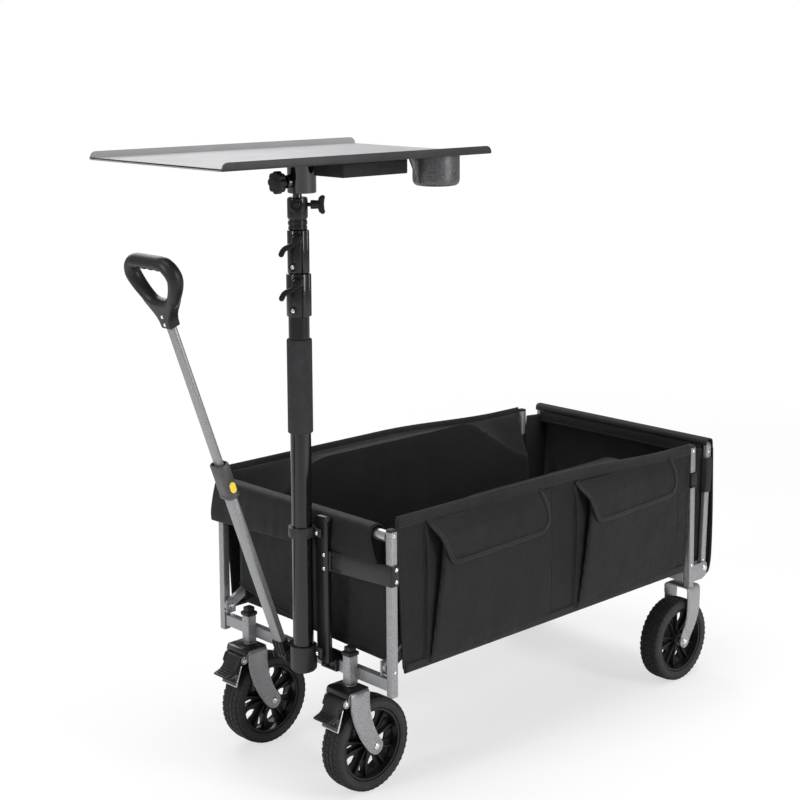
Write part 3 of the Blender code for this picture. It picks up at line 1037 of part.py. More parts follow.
def gate():
    frame = Matrix.Translation((GATE_X, 0, GATE_PIVOT_Z)) @ Matrix.Rotation(-GATE_LEAN, 4, "Y")
    bar_in = GATE_HALF_WIDTH - GATE_BAR_Y
    depth = GATE_BAR_X / 2
    top = GATE_LENGTH
    inset = depth - 0.0003
    bar = box("gate_frame", (-inset, -bar_in - OVERLAP, top - 0.010), (inset, bar_in + OVERLAP, top - 0.0002))
    for side, label in SIDES:
        low, high = y_span(side, bar_in, GATE_HALF_WIDTH)
        join(bar, box("bar", (-depth, low, 0.0), (depth, high, top), 0.001),
             rod("heel", (0, low + 0.0002, 0), (0, high - 0.0002, 0), inset, 20))
        cut(bar, rod("hole", (0, side * (bar_in - 0.01), 0), (0, side * (GATE_HALF_WIDTH + 0.01), 0),
                     GATE_PIN_R + GAP, 16))
    lean_all(bar, frame)
    keep(bar, "gate_swing", PAINT_GREY)

    face = -depth - GAP
    wing = bar_in - 0.001
    panel = box("bag_gate_panel", (face - FABRIC, -GATE_HALF_WIDTH, 0.0165),
                (face, GATE_HALF_WIDTH, top + 0.003))
    skirt = bar_in - 0.0050
    join(panel, box("skirt", (face - FABRIC + 0.0002, -skirt, -0.012), (face - 0.0002, skirt, 0.018)))
    loop_low, loop_high = [(z - GATE_PIVOT_Z) / math.cos(GATE_LEAN) for z in GATE_LOOP_Z]
    for side, label in SIDES:
        low, high = y_span(side, wing - FABRIC, wing)
        join(panel, box("wing", (face - 0.001, low, 0.020), (face + GATE_WING, high, top - 0.014)))
        low, high = y_span(side, wing - 0.002, GATE_HALF_WIDTH + 0.0030)
        join(panel, box("loop", (face - 0.002, low, loop_low), (GATE_LOOP_X, high, loop_high), 0.001))
        low, high = y_span(side, bar_in - GAP, GATE_HALF_WIDTH + GAP)
        cut(panel, box("bar_hole", (face + 0.0001, low, loop_low - 0.01),
                       (depth + GAP, high, loop_high + 0.01)))
    lean_all(panel, frame)
    keep(panel, "gate_swing", CLOTH)


def lean_all(obj, frame):
    """Turns a piece built upright, with its tools, into a leaning frame."""
    for step in obj.modifiers:
        if step.type == "BOOLEAN":
            lean_all(step.object, frame)
    obj.data.transform(frame)


def bag():
    back = -TOP_RAIL_R - OVERLAP
    panel = box("bag_front", (back - FABRIC, -BAG_HALF_WIDTH, FRONT_PANEL_BOTTOM_Z),
                (back, BAG_HALF_WIDTH, POST_TOP_Z + POST_CAP + 0.0015))
    cuff_low, cuff_high = CUFF_Y
    roof = POST_TOP_Z + POST_CAP + 0.0005
    cover = box("cover", (back - FABRIC, -BAG_HALF_WIDTH, roof), (CUFF_X, cuff_high, roof + 0.0025))
    over_post = box("over_post", (-POST / 2 + GAP, cuff_low, roof + 0.0001),
                    (CUFF_X, -BAG_HALF_WIDTH + 0.002, roof + 0.0024))
    hem_right, hem_left = CUFF_BOTTOM_Z
    flap = plate("flap", [(cuff_low, hem_right), (cuff_high, hem_left), (cuff_high, roof + 0.0022),
                          (cuff_low, roof + 0.0022)], FABRIC - 0.0004, "YZ", CUFF_X - FABRIC / 2)
    keep(join(panel, cover, over_post, flap), "front_frame", CLOTH)

    outer = HALF_WIDTH - SIDE_SETBACK
    front_x = -POST / 2 - GAP
    rear_x = REAR_X + POST / 2 + GAP
    r = 0.020
    outline = ([(front_x, RIM_Z), (front_x - SIDE_SLANT, HEM_Z + r)]
               + arc(front_x - SIDE_SLANT - r, HEM_Z + r, r, 0, -90, 5)
               + arc(rear_x + SIDE_SLANT + r, HEM_Z + r, r, 270, 180, 5)
               + [(rear_x + SIDE_SLANT, HEM_Z + r), (rear_x, RIM_REAR_Z), (REAR_X * 0.6, RIM_Z)])
    for side, label in SIDES:
        wall = plate("bag_%s_wall" % label, outline, FABRIC, "XZ", side * (outer - FABRIC / 2))
        for front, rear in POCKETS:
            low, high = y_span(side, outer - OVERLAP, outer + POCKET_DEPTH)
            join(wall, box("pocket", (rear, low, POCKET_BOTTOM_Z), (front, high, POCKET_TOP_Z), 0.006, 3))
        keep(wall, "front_frame", CLOTH)
    keep(box("bag_floor", (REAR_X + 0.024, -BAG_HALF_WIDTH, FLOOR_Z - FABRIC),
             (back - FABRIC - GAP, BAG_HALF_WIDTH, FLOOR_Z), 0.001), "front_frame", CLOTH)


def add_bodies():
    middle = -(FRONT_REACH + REAR_REACH) / 2
    wagon = bpy.data.objects.new("wagon", None)
    parts.objects.link(wagon)
    wagon.location = (middle, 0, 0)
    wagon["place"] = (0, 0, 0)
    bodies["wagon"] = wagon
    apex = (-LINK_HALF_SPAN, APEX_Z)
    half_rise = (LINK_PIVOT_Z + APEX_Z) / 2
    along_handle = Vector((math.sin(HANDLE_LEAN), 0, math.cos(HANDLE_LEAN)))
    pivot = Vector((HANDLE_X, 0, HANDLE_Z))
    add_body("front_frame", "wagon", (0, 0, 0))
    add_body("handle_swing", "front_frame", pivot)
    add_body("release_button_press", "handle_swing", pivot + along_handle * BUTTON_ALONG)
    add_body("handle_extend", "handle_swing", pivot + along_handle * HANDLE_LOWER_END)
    add_body("mast_middle", "front_frame", (MAST_X, MAST_Y, LOWER_COLLAR_BOTTOM_Z))
    add_body("mast_top", "mast_middle", (MAST_X, MAST_Y, UPPER_COLLAR_BOTTOM_Z))
    add_body("lower_lever_turn", "front_frame", (MAST_X, MAST_Y, LOWER_COLLAR_BOTTOM_Z + LEVER_UP))
    add_body("upper_lever_turn", "mast_middle", (MAST_X, MAST_Y, UPPER_COLLAR_BOTTOM_Z + LEVER_UP))
    add_body("head_wing_knob_turn", "mast_top", (MAST_X, MAST_Y, HEAD_BOTTOM_Z + KNOB_UP))
    add_body("tray_turn", "mast_top", (MAST_X, MAST_Y, TRAY_Z))
    add_body("tray_star_knob_turn", "tray_turn", (MAST_X, MAST_Y, STAR_KNOB_Z + 0.008))
    for side, label in SIDES:
        y = side * FRONT_WHEEL_Y
        add_body("caster_" + label, "front_frame", (STEM_X, y, FORK_TOP_Z))
        add_body("front_wheel_" + label, "caster_" + label, (FRONT_AXLE_X, y, WHEEL_R))
        add_body("brake_pedal_press_" + label, "caster_" + label,
                 (STEM_X + PEDAL_PIVOT[0], y, PEDAL_PIVOT[1]))
        add_body("fold_front_" + label, "front_frame", (0, side * OUTER_LINK_Y, LINK_PIVOT_Z))
        add_body("fold_rear_" + label, "fold_front_" + label, (apex[0], side * INNER_LINK_Y, apex[1]))
    add_body("stay_front", "fold_front_left", (-LINK_HALF_SPAN / 2, 0, half_rise))
    add_body("stay_rear", "fold_rear_left", (REAR_X + LINK_HALF_SPAN / 2, 0, half_rise))
    add_body("rear_frame", "fold_rear_left", (REAR_X, 0, LINK_PIVOT_Z))
    for side, label in SIDES:
        add_body("rear_wheel_" + label, "rear_frame", (REAR_AXLE_X, side * REAR_WHEEL_Y, WHEEL_R))
    add_body("gate_swing", "rear_frame", (GATE_X, 0, GATE_PIVOT_Z))


def main():
    clear_scene()
    add_bodies()
    front_end()
    mast_bracket()
    mast()
    lever("lower_collar_lever", LOWER_COLLAR_BOTTOM_Z, LOWER_COLLAR_R, "lower_lever_turn")
    lever("upper_collar_lever", UPPER_COLLAR_BOTTOM_Z, UPPER_COLLAR_R, "upper_lever_turn")
    tray_assembly()
    handle()
    casters()
    side_links()
    rear_end()
    gate()
    bag()
    print(len([o for o in parts.objects if o.type == "MESH"]), "pieces")


main()
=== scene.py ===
# Looks of the folding utility wagon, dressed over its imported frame. Metres, +X towards the pull handle,
# +Y to the wagon's left, +Z up. Sizes count x from the front posts' centres; finishPiece() moves each piece
# to the frame's own x.
import math

import bmesh
import bpy
from mathutils import Matrix, Vector, noise


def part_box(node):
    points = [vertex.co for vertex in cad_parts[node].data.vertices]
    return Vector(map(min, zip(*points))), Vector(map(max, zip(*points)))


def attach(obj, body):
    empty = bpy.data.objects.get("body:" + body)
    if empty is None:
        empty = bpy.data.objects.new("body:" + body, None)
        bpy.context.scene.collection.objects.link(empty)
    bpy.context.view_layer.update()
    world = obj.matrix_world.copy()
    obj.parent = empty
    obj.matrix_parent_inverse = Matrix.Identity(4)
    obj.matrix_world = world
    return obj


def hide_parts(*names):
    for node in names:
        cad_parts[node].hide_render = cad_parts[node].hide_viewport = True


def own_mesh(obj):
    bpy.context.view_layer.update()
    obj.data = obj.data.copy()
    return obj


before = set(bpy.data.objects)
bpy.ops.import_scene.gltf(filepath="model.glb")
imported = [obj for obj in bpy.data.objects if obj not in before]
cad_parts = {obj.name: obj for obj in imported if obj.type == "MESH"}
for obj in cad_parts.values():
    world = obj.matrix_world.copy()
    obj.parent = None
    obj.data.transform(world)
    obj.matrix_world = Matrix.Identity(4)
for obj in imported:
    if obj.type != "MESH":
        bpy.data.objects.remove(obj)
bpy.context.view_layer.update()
railLow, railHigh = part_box("front_top_rail")
frontX = (railLow.x + railHigh.x) / 2    # the front posts' centres in the frame's own x
sides = ((1, "left"), (-1, "right"))

# small helpers for modelling by operator

def deselectAll():
    if bpy.context.object and bpy.context.object.mode != "OBJECT":
        bpy.ops.object.mode_set(mode="OBJECT")
    bpy.ops.object.select_all(action="DESELECT")


def pick(obj):
    deselectAll()
    obj.select_set(True)
    bpy.context.view_layer.objects.active = obj
    return obj


def freeze(obj):
    # puts the object's place into its mesh
    pick(obj)
    bpy.ops.object.transform_apply(location=True, rotation=True, scale=True)
    return obj


def applyAll(obj):
    pick(obj)
    for step in list(obj.modifiers):
        bpy.ops.object.modifier_apply(modifier=step.name)
    return obj


def softenEdges(obj, width, segments=2, angle=30):
    if width > 0:
        rounding = obj.modifiers.new("rounding", "BEVEL")
        rounding.width = width
        rounding.segments = segments
        rounding.limit_method = "ANGLE"
        rounding.angle_limit = math.radians(angle)
        applyAll(obj)
    return obj


def smooth(obj, angle=38):
    pick(obj)
    bpy.ops.object.shade_smooth_by_angle(angle=math.radians(angle))
    return obj


def editAll(obj):
    # opens obj in edit mode with all of it selected
    pick(obj)
    bpy.ops.object.mode_set(mode="EDIT")
    bpy.ops.mesh.select_all(action="SELECT")


def leaveEdit():
    bpy.ops.object.mode_set(mode="OBJECT")


def mergeDoubles(obj, distance=0.00002):
    editAll(obj)
    bpy.ops.mesh.remove_doubles(threshold=distance)
    bpy.ops.mesh.normals_make_consistent(inside=False)
    leaveEdit()
    return obj


def block(low, high, rounding=0.0, segments=3):
    low, high = Vector(low), Vector(high)
    deselectAll()
    bpy.ops.mesh.primitive_cube_add(size=1, location=(low + high) / 2)
    obj = bpy.context.object
    obj.scale = high - low
    freeze(obj)
    softenEdges(obj, rounding, segments)
    return smooth(obj)


def rod(start, end, radius, sides=32, endRadius=None, rounding=0.0):
    start, end = Vector(start), Vector(end)
    deselectAll()
    bpy.ops.mesh.primitive_cone_add(vertices=sides, radius1=radius, depth=(end - start).length,
                                    radius2=radius if endRadius is None else endRadius)
    obj = bpy.context.object
    obj.matrix_world = facing((start + end) / 2, end - start)
    freeze(obj)
    softenEdges(obj, rounding, 2, 50)
    return smooth(obj)


def spunPiece(points, matrix, steps=64, closed=True):
    # a ring of profile points (radius, height), spun about the matrix's z axis
    deselectAll()
    bpy.ops.mesh.primitive_circle_add(vertices=len(points), radius=0.01, fill_type="NOTHING")
    obj = bpy.context.object
    for vertex, (radius, height) in zip(obj.data.vertices, points):
        vertex.co = (max(radius, 0.0), 0.0, height)
    if not closed:
        # an open profile starts and ends on the axis, so its closing edge goes
        mesh = bmesh.new()
        mesh.from_mesh(obj.data)
        mesh.verts.ensure_lookup_table()
        last = [edge for edge in mesh.edges
                if {edge.verts[0].index, edge.verts[1].index} == {0, len(points) - 1}]
        bmesh.ops.delete(mesh, geom=last, context="EDGES")
        mesh.to_mesh(obj.data)
        mesh.free()
    editAll(obj)
    bpy.ops.mesh.spin(steps=steps, angle=2 * math.pi, center=(0, 0, 0), axis=(0, 0, 1))
    leaveEdit()
    mergeDoubles(obj, 0.00001)
    obj.matrix_world = matrix
    freeze(obj)
    return smooth(obj, 32)


def flatShape(outline, thickness, matrix, rounding=0.0, segments=2):
    # a closed outline (a, b) in the matrix's xy plane, made thick about that plane
    deselectAll()
    bpy.ops.mesh.primitive_circle_add(vertices=len(outline), radius=0.01, fill_type="NGON")
    obj = bpy.context.object
    for vertex, (a, b) in zip(obj.data.vertices, outline):
        vertex.co = (a, b, -thickness / 2)
    editAll(obj)
    bpy.ops.mesh.extrude_region_move(TRANSFORM_OT_translate={"value": (0, 0, thickness)})
    bpy.ops.mesh.select_all(action="SELECT")
    bpy.ops.mesh.normals_make_consistent(inside=False)
    leaveEdit()
    obj.matrix_world = matrix
    freeze(obj)
    softenEdges(obj, rounding, segments, 50)
    return smooth(obj)


def sideways(y):
    # xy of a flat shape become the wagon's x and z
    return Matrix(((1, 0, 0, 0), (0, 0, -1, y), (0, 1, 0, 0), (0, 0, 0, 1)))


def endways(x):
    # xy of a flat shape become y and z
    return Matrix(((0, 0, 1, x), (1, 0, 0, 0), (0, 1, 0, 0), (0, 0, 0, 1)))


def facing(place, direction):
    # the matrix of a piece that stands at place with its z axis along direction
    return Matrix.Translation(Vector(place)) @ Vector(direction).to_track_quat("Z", "Y").to_matrix().to_4x4()


def curveThrough(points, closed=False, kind="POLY", bevel=0.0, rings=3):
    curve = bpy.data.curves.new("line", "CURVE")
    curve.dimensions = "3D"
    curve.bevel_depth = bevel
    curve.bevel_resolution = rings
    spline = curve.splines.new(kind)
    spline.points.add(len(points) - 1)
    for point, place in zip(spline.points, points):
        point.co = (*place, 1.0)
    spline.use_cyclic_u = closed
    if kind == "NURBS":
        spline.order_u = 4
        spline.use_endpoint_u = not closed
    line = bpy.data.objects.new("line", curve)
    bpy.context.scene.collection.objects.link(line)
    return line, spline


def curveToMesh(line):
    pick(line)
    bpy.ops.object.convert(target="MESH")
    return mergeDoubles(bpy.context.object)


def sweep(points, radius, closed=False, rings=3, kind="POLY"):
    # a round cord, wire or bead through the points
    line, spline = curveThrough(points, closed, kind, radius, rings)
    line.data.use_fill_caps = True
    if kind == "NURBS":
        spline.resolution_u = 6
    return smooth(curveToMesh(line), 60)


def gridSheet(columns, rows, place):
    # a sheet of cloth: place(u, v) gives each point, u along and v up, both from 0 to 1
    deselectAll()
    bpy.ops.mesh.primitive_grid_add(x_subdivisions=columns, y_subdivisions=rows, size=2)
    obj = bpy.context.object
    for vertex in obj.data.vertices:
        vertex.co = place((vertex.co.x + 1) / 2, (vertex.co.y + 1) / 2)
    return smooth(obj, 60)


def thicken(obj, thickness, offset=-1.0):
    skin = obj.modifiers.new("skin", "SOLIDIFY")
    skin.thickness = thickness
    skin.offset = offset
    applyAll(obj)
    return obj


def joinPieces(name, pieces):
    deselectAll()
    for piece in pieces:
        piece.select_set(True)
    bpy.context.view_layer.objects.active = pieces[0]
    if len(pieces) > 1:
        bpy.ops.object.join()
    obj = bpy.context.object
    obj.name = name
    obj.data.name = name
    return obj


def combine(obj, other, operation):
    step = obj.modifiers.new("combine", "BOOLEAN")
    step.operation = operation
    step.solver = "EXACT"
    step.object = other
    applyAll(obj)
    bpy.data.objects.remove(other, do_unlink=True)
    return obj


def dress(obj, material):
    obj.data.materials.clear()
    obj.data.materials.append(material)
    return obj


def finishPiece(piece, name, body, material=None, replaced=()):
    # the last step of each piece: its name, its place in the frame's own x, its finish and body
    obj = joinPieces(name, piece) if isinstance(piece, list) else piece
    obj.name = name
    obj.data.name = name
    obj.data.transform(Matrix.Translation((frontX, 0, 0)))
    if material:
        dress(obj, material)
    layWeave(obj)
    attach(obj, body)
    if replaced:
        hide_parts(*replaced)
    return obj


def layWeave(obj):
    # a UV map in metres, laid on each face from its nearest axis, so that cloth keeps its weave
    layer = obj.data.uv_layers.get("weave") or obj.data.uv_layers.new(name="weave")
    vertices = obj.data.vertices
    for face in obj.data.polygons:
        across = [abs(value) for value in face.normal]
        main = across.index(max(across))
        for loop in face.loop_indices:
            point = vertices[obj.data.loops[loop].vertex_index].co
            layer.data[loop].uv = ((point.y, point.z), (point.x, point.z), (point.x, point.y))[main]


def arcPoints(a, b, radius, start, end, count=8):
    turns = [math.radians(start + (end - start) * i / (count - 1)) for i in range(count)]
    return [(a + radius * math.cos(t), b + radius * math.sin(t)) for t in turns]


def barOutline(start, end, width, count=9):
    turn = math.degrees(math.atan2(end[1] - start[1], end[0] - start[0]))
    return (arcPoints(end[0], end[1], width / 2, turn - 90, turn + 90, count)
            + arcPoints(start[0], start[1], width / 2, turn + 90, turn + 270, count))


def ripple(point, scale, seed=0.0):
    return noise.noise(Vector(point) * scale + Vector((seed, seed * 0.7, -seed)))


def easeStep(value, low, high):
    t = min(max((value - low) / (high - low), 0.0), 1.0)
    return t * t * (3 - 2 * t)


def copyPiece(obj, matrix):
    # a copy with its own mesh, moved by the matrix; a mirrored one is turned outwards again
    made = obj.copy()
    made.data = obj.data.copy()
    made.data.transform(matrix)
    bpy.context.scene.collection.objects.link(made)
    if matrix.determinant() < 0:
        made.data.flip_normals()
    return made


def spinCopies(obj, count):
    # copies round the y axis
    editAll(obj)
    bpy.ops.mesh.spin(steps=count - 1, dupli=True, angle=2 * math.pi * (count - 1) / count,
                      center=(0, 0, 0), axis=(0, 1, 0))
    leaveEdit()
    return obj


def heading(points, i):
    # the direction of a line of points at its i-th one
    before, after = points[max(i - 1, 0)], points[min(i + 1, len(points) - 1)]
    return Vector((after[0] - before[0], after[1] - before[1])).normalized()


def stripSides(points, halfWidth):
    # the two long edges of a bent strip; halfWidth(share) gives its half width along the points
    left, right = [], []
    for i, (a, b) in enumerate(points):
        ahead, half = heading(points, i), halfWidth(i / (len(points) - 1))
        left.append((a - ahead.y * half, b + ahead.x * half))
        right.append((a + ahead.y * half, b - ahead.x * half))
    return left, right


def strip(points, width):
    left, right = stripSides(points, lambda share: width / 2)
    return left + right[::-1]


def stud(place, direction, radius, height, cross=False, steps=24):
    # a domed rivet or screw head that stands on place
    profile = [(0, height), (radius * 0.45, height * 0.93), (radius * 0.8, height * 0.68), (radius, height * 0.25),
               (radius, -height * 0.5), (0, -height * 0.5)]
    made = spunPiece(profile, facing(place, direction), steps, closed=False)
    if cross:
        headTop = facing(Vector(place) + Vector(direction).normalized() * height, direction)
        for long, wide in ((1.1, 0.3), (0.3, 1.1)):
            cutter = block((-radius * long / 2, -radius * wide / 2, -height * 0.7),
                           (radius * long / 2, radius * wide / 2, height))
            cutter.data.transform(headTop)
            combine(made, cutter, "DIFFERENCE")
    return made


def stitches(points, pitch=0.0048, thread=0.00045):
    # a row of short stitches, arrayed along a curve through the points
    stitch = block((0, -thread, -thread), (pitch * 0.68, thread, thread), thread * 0.6, 1)
    path = curveThrough(points)[0]
    row = stitch.modifiers.new("row", "ARRAY")
    row.fit_type = "FIT_CURVE"
    row.curve = path
    row.use_relative_offset = False
    row.use_constant_offset = True
    row.constant_offset_displace = (pitch, 0, 0)
    bend = stitch.modifiers.new("bend", "CURVE")
    bend.object = path
    applyAll(stitch)
    bpy.data.objects.remove(path, do_unlink=True)
    return stitch


# finishes

def addNode(tree, kind, values=(), **settings):
    # a shader node with its settings and the values on its own sockets
    made = tree.nodes.new("ShaderNode" + kind)
    for name, value in settings.items():
        setattr(made, name, value)
    for name, value in dict(values).items():
        made.inputs[name].default_value = value
    return made


def newMaterial(name, color, roughness, values=()):
    made = bpy.data.materials.new(name)
    made.use_nodes = True
    shader = made.node_tree.nodes["Principled BSDF"]
    for socket, value in {"Base Color": (*color, 1.0), "Roughness": roughness, **dict(values)}.items():
        shader.inputs[socket].default_value = value
    return made, made.node_tree, shader


def objectNoise(tree, scale, detail=3.0, rough=0.5):
    place = addNode(tree, "TexCoord")
    texture = addNode(tree, "TexNoise", {"Scale": scale, "Detail": detail, "Roughness": rough})
    tree.links.new(place.outputs["Object"], texture.inputs["Vector"])
    return texture.outputs["Fac"]


def tint(tree, shader, factor, dark, light, low=0.35, high=0.65):
    ramp = addNode(tree, "ValToRGB")
    for stop, place, color in zip(ramp.color_ramp.elements, (low, high), (dark, light)):
        stop.position = place
        stop.color = (*color, 1)
    tree.links.new(factor, ramp.inputs["Fac"])
    tree.links.new(ramp.outputs["Color"], shader.inputs["Base Color"])


def bumpFrom(tree, shader, height, strength, distance, below=None):
    bump = addNode(tree, "Bump", {"Strength": strength, "Distance": distance})
    tree.links.new(height, bump.inputs["Height"])
    if below:
        tree.links.new(below.outputs["Normal"], bump.inputs["Normal"])
    tree.links.new(bump.outputs["Normal"], shader.inputs["Normal"])
    return bump


def roughFrom(tree, shader, factor, low, high):
    spread = addNode(tree, "MapRange", {"To Min": low, "To Max": high})
    tree.links.new(factor, spread.inputs["Value"])
    tree.links.new(spread.outputs["Result"], shader.inputs["Roughness"])


def dimmed(color, level):
    # near-black finishes get a weaker reflection, or they would read as grey
    return {"Specular IOR Level": level} if color[0] < darkBelow else {}


def hammerPaint(name, dark, light, metallic, roughLow, roughHigh, grain=620.0, depth=0.00035):
    made, tree, shader = newMaterial(name, light, roughHigh, {"Metallic": metallic})
    cells = objectNoise(tree, grain, 2.0, 0.6)
    tint(tree, shader, cells, dark, light, 0.30, 0.62)
    roughFrom(tree, shader, objectNoise(tree, grain * 0.5, 2.0), roughLow, roughHigh)
    bumpFrom(tree, shader, cells, 0.45, depth)
    return made


def smoothPaint(name, color, roughness, coat=0.0, metallic=0.0, peel=160.0):
    made, tree, shader = newMaterial(name, color, roughness, {
        "Coat Weight": coat, "Coat Roughness": 0.12, "Metallic": metallic, **dimmed(color, 0.26)})
    spread = 0.20 if color[0] < darkBelow else 0.045    # broad light faces would look clouded
    lift = [value * (1 + spread) + 0.001 for value in color]
    drop = [value * (1 - spread) for value in color]
    tint(tree, shader, objectNoise(tree, 14.0, 4.0), drop, lift, 0.3, 0.7)
    roughFrom(tree, shader, objectNoise(tree, 35.0, 4.0), roughness * 0.82, roughness * 1.2)
    bumpFrom(tree, shader, objectNoise(tree, peel, 2.0), 0.10, 0.0004)
    return made


def grainedPlastic(name, color, roughness, grain=900.0, depth=0.0002, strength=0.35):
    made, tree, shader = newMaterial(name, color, roughness, dimmed(color, 0.28))
    lift = [value * 1.35 + 0.001 for value in color]
    tint(tree, shader, objectNoise(tree, 40.0, 5.0), color, lift, 0.35, 0.75)
    roughFrom(tree, shader, objectNoise(tree, 120.0, 3.0), roughness * 0.85, roughness * 1.12)
    bumpFrom(tree, shader, objectNoise(tree, grain, 1.0), strength, depth)
    return made


def wovenCloth(name, dark, light, roughness, sheen, thread=0.0009, strength=0.55):
    # two crossed waves of thread over a broad cloud, with soft creases below the weave
    made, tree, shader = newMaterial(name, dark, roughness, {
        "Sheen Weight": sheen, "Sheen Roughness": 0.45, "Specular IOR Level": 0.18})
    uv = addNode(tree, "UVMap", uv_map="weave")
    weave = addNode(tree, "Math", operation="MULTIPLY")
    for i, direction in enumerate("XY"):
        wave = addNode(tree, "TexWave", {"Scale": 0.314 / thread, "Distortion": 0.6, "Detail": 1.0},
                       wave_type="BANDS", bands_direction=direction, wave_profile="SIN")
        tree.links.new(uv.outputs["UV"], wave.inputs["Vector"])
        tree.links.new(wave.outputs["Fac"], weave.inputs[i])
    cloud = objectNoise(tree, 9.0, 6.0, 0.65)
    mixed = addNode(tree, "Math", {1: 0.35}, operation="MULTIPLY_ADD")
    tree.links.new(weave.outputs[0], mixed.inputs[0])
    tree.links.new(cloud, mixed.inputs[2])
    tint(tree, shader, mixed.outputs[0], dark, light, 0.35, 0.9)
    soft = addNode(tree, "Bump", {"Strength": 0.35, "Distance": 0.004})
    tree.links.new(objectNoise(tree, 26.0, 5.0, 0.6), soft.inputs["Height"])
    bumpFrom(tree, shader, weave.outputs[0], strength, thread * 0.35, soft)
    roughFrom(tree, shader, cloud, roughness * 0.9, min(roughness * 1.12, 1.0))
    return made


darkBelow = 0.05    # a finish whose red is below this counts as near-black
greyPaint = hammerPaint("greyHammerPaint", (0.15, 0.15, 0.152), (0.40, 0.40, 0.405), 0.55, 0.30, 0.48)
forkPaint = hammerPaint("forkHammerPaint", (0.15, 0.15, 0.153), (0.42, 0.42, 0.425), 0.5, 0.26, 0.44, 560.0)
cupPaint = hammerPaint("cupHammerPaint", (0.030, 0.030, 0.031), (0.150, 0.150, 0.154), 0.5, 0.32, 0.5, 520.0, 0.0005)
mastPaint = smoothPaint("mastBlackPaint", (0.0060, 0.0060, 0.0064), 0.20, 0.5)
bracketPaint = smoothPaint("bracketBlackPaint", (0.0070, 0.0070, 0.0075), 0.34, 0.25)
ringPaint = smoothPaint("ringSatinPaint", (0.026, 0.026, 0.0272), 0.42, 0.1)
collarPaint = smoothPaint("collarSatinPaint", (0.0120, 0.0120, 0.0128), 0.27, 0.35, 0.2)
trayPaint = smoothPaint("trayGreyPaint", (0.27, 0.27, 0.273), 0.62, 0.0, 0.0, 380.0)
# a dark copy of the tray paint, used as painted shade on the tray's underside and upturned edges
trayShadePaint = smoothPaint("trayShadePaint", (0.034, 0.034, 0.0355), 0.5, 0.0, 0.1, 380.0)
blackPlastic = grainedPlastic("blackPlastic", (0.0105, 0.0105, 0.0110), 0.44)
rimPlastic = grainedPlastic("rimPlastic", (0.013, 0.013, 0.014), 0.36, 500.0, 0.0001, 0.2)
glossPlastic = grainedPlastic("glossBlackPlastic", (0.0065, 0.0065, 0.0070), 0.20, 300.0, 0.0001, 0.10)
darkPlastic = grainedPlastic("darkGreyPlastic", (0.055, 0.055, 0.057), 0.46, 700.0, 0.00012, 0.25)
softPlastic = grainedPlastic("softBlackPlastic", (0.0080, 0.0080, 0.0084), 0.60, 900.0, 0.00015, 0.3)
gripPlastic = grainedPlastic("gripPlastic", (0.012, 0.012, 0.0125), 0.40, 600.0, 0.00012, 0.2)
tubePaint = hammerPaint("tubeHammerPaint", (0.17, 0.17, 0.172), (0.36, 0.36, 0.365), 0.5, 0.34, 0.5, 700.0, 0.0002)
glossPaint = smoothPaint("glossBlackPaint", (0.055, 0.055, 0.057), 0.16, 0.4, 0.9)
yellowPlastic = grainedPlastic("yellowPlastic", (0.90, 0.66, 0.055), 0.36, 500.0, 0.00008, 0.15)
gripFoam = grainedPlastic("gripFoam", (0.030, 0.030, 0.031), 0.92, 700.0, 0.0006, 0.8)
tyreRubber = grainedPlastic("tyreRubber", (0.026, 0.026, 0.027), 0.60, 500.0, 0.00012, 0.15)
treadRubber = grainedPlastic("treadRubber", (0.014, 0.014, 0.015), 0.66, 420.0, 0.0004, 0.5)
bagCloth = wovenCloth("bagCloth", (0.0062, 0.0062, 0.0065), (0.0165, 0.0165, 0.0170), 0.56, 0.03)
liningCloth = wovenCloth("liningCloth", (0.0090, 0.0090, 0.0095), (0.0180, 0.0180, 0.0190), 0.75, 0.04)
hemCloth = wovenCloth("hemCloth", (0.0095, 0.0095, 0.0100), (0.0240, 0.0240, 0.0250), 0.55, 0.06, 0.0014, 0.9)
threadLook = grainedPlastic("blackThread", (0.028, 0.028, 0.029), 0.6, 2000.0, 0.0001, 0.3)
brightSteel = smoothPaint("brightSteel", (0.74, 0.74, 0.75), 0.22, 0.0, 1.0, 500.0)
bladeSteel = smoothPaint("bladeSteel", (0.085, 0.085, 0.088), 0.34, 0.0, 0.8, 500.0)
zincSteel = smoothPaint("zincSteel", (0.52, 0.52, 0.53), 0.30, 0.0, 1.0, 700.0)
for slotName, looks in (("grey_paint", (greyPaint, forkPaint, tubePaint)), ("speckled_paint", (cupPaint,)),
                        ("black_paint", (mastPaint, bracketPaint, ringPaint, collarPaint, glossPaint)),
                        ("tray_paint", (trayPaint,)), ("steel", (brightSteel, bladeSteel, zincSteel)),
                        ("black_plastic", (blackPlastic, rimPlastic, glossPlastic, darkPlastic, softPlastic,
                                            gripPlastic)),
                        ("yellow_plastic", (yellowPlastic,)), ("foam", (gripFoam,)),
                        ("tyre_rubber", (tyreRubber, treadRubber)),
                        ("bag_cloth", (bagCloth, liningCloth, hemCloth, threadLook))):
    for look in looks:
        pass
print("materials made")

# wheels: one wheel is modelled about its own axle, along y, and copied to the four axles
axleZ = 0.0877
wheelY = {"front": 0.149, "rear": 0.219}
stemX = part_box("caster_tube_left")[0].x - frontX + 0.012
axleX = {"front": stemX - 0.034, "rear": -0.834}
tyreShape = {"radius": axleZ, "width": 0.0465, "bead": 0.0676, "grooveDepth": 0.0018, "blocks": 46,
             "rows": ((-0.0158, 0.0090), (-0.0054, 0.0082), (0.0054, 0.0082), (0.0158, 0.0090)),
             "blockLength": 0.0104}
rimShape = {"radius": 0.0671, "width": 0.0400, "wall": 0.0034, "hub": 0.0140, "rib": 0.0030, "ribDepth": 0.0210,
            "ribs": 5, "curve": 0.010}


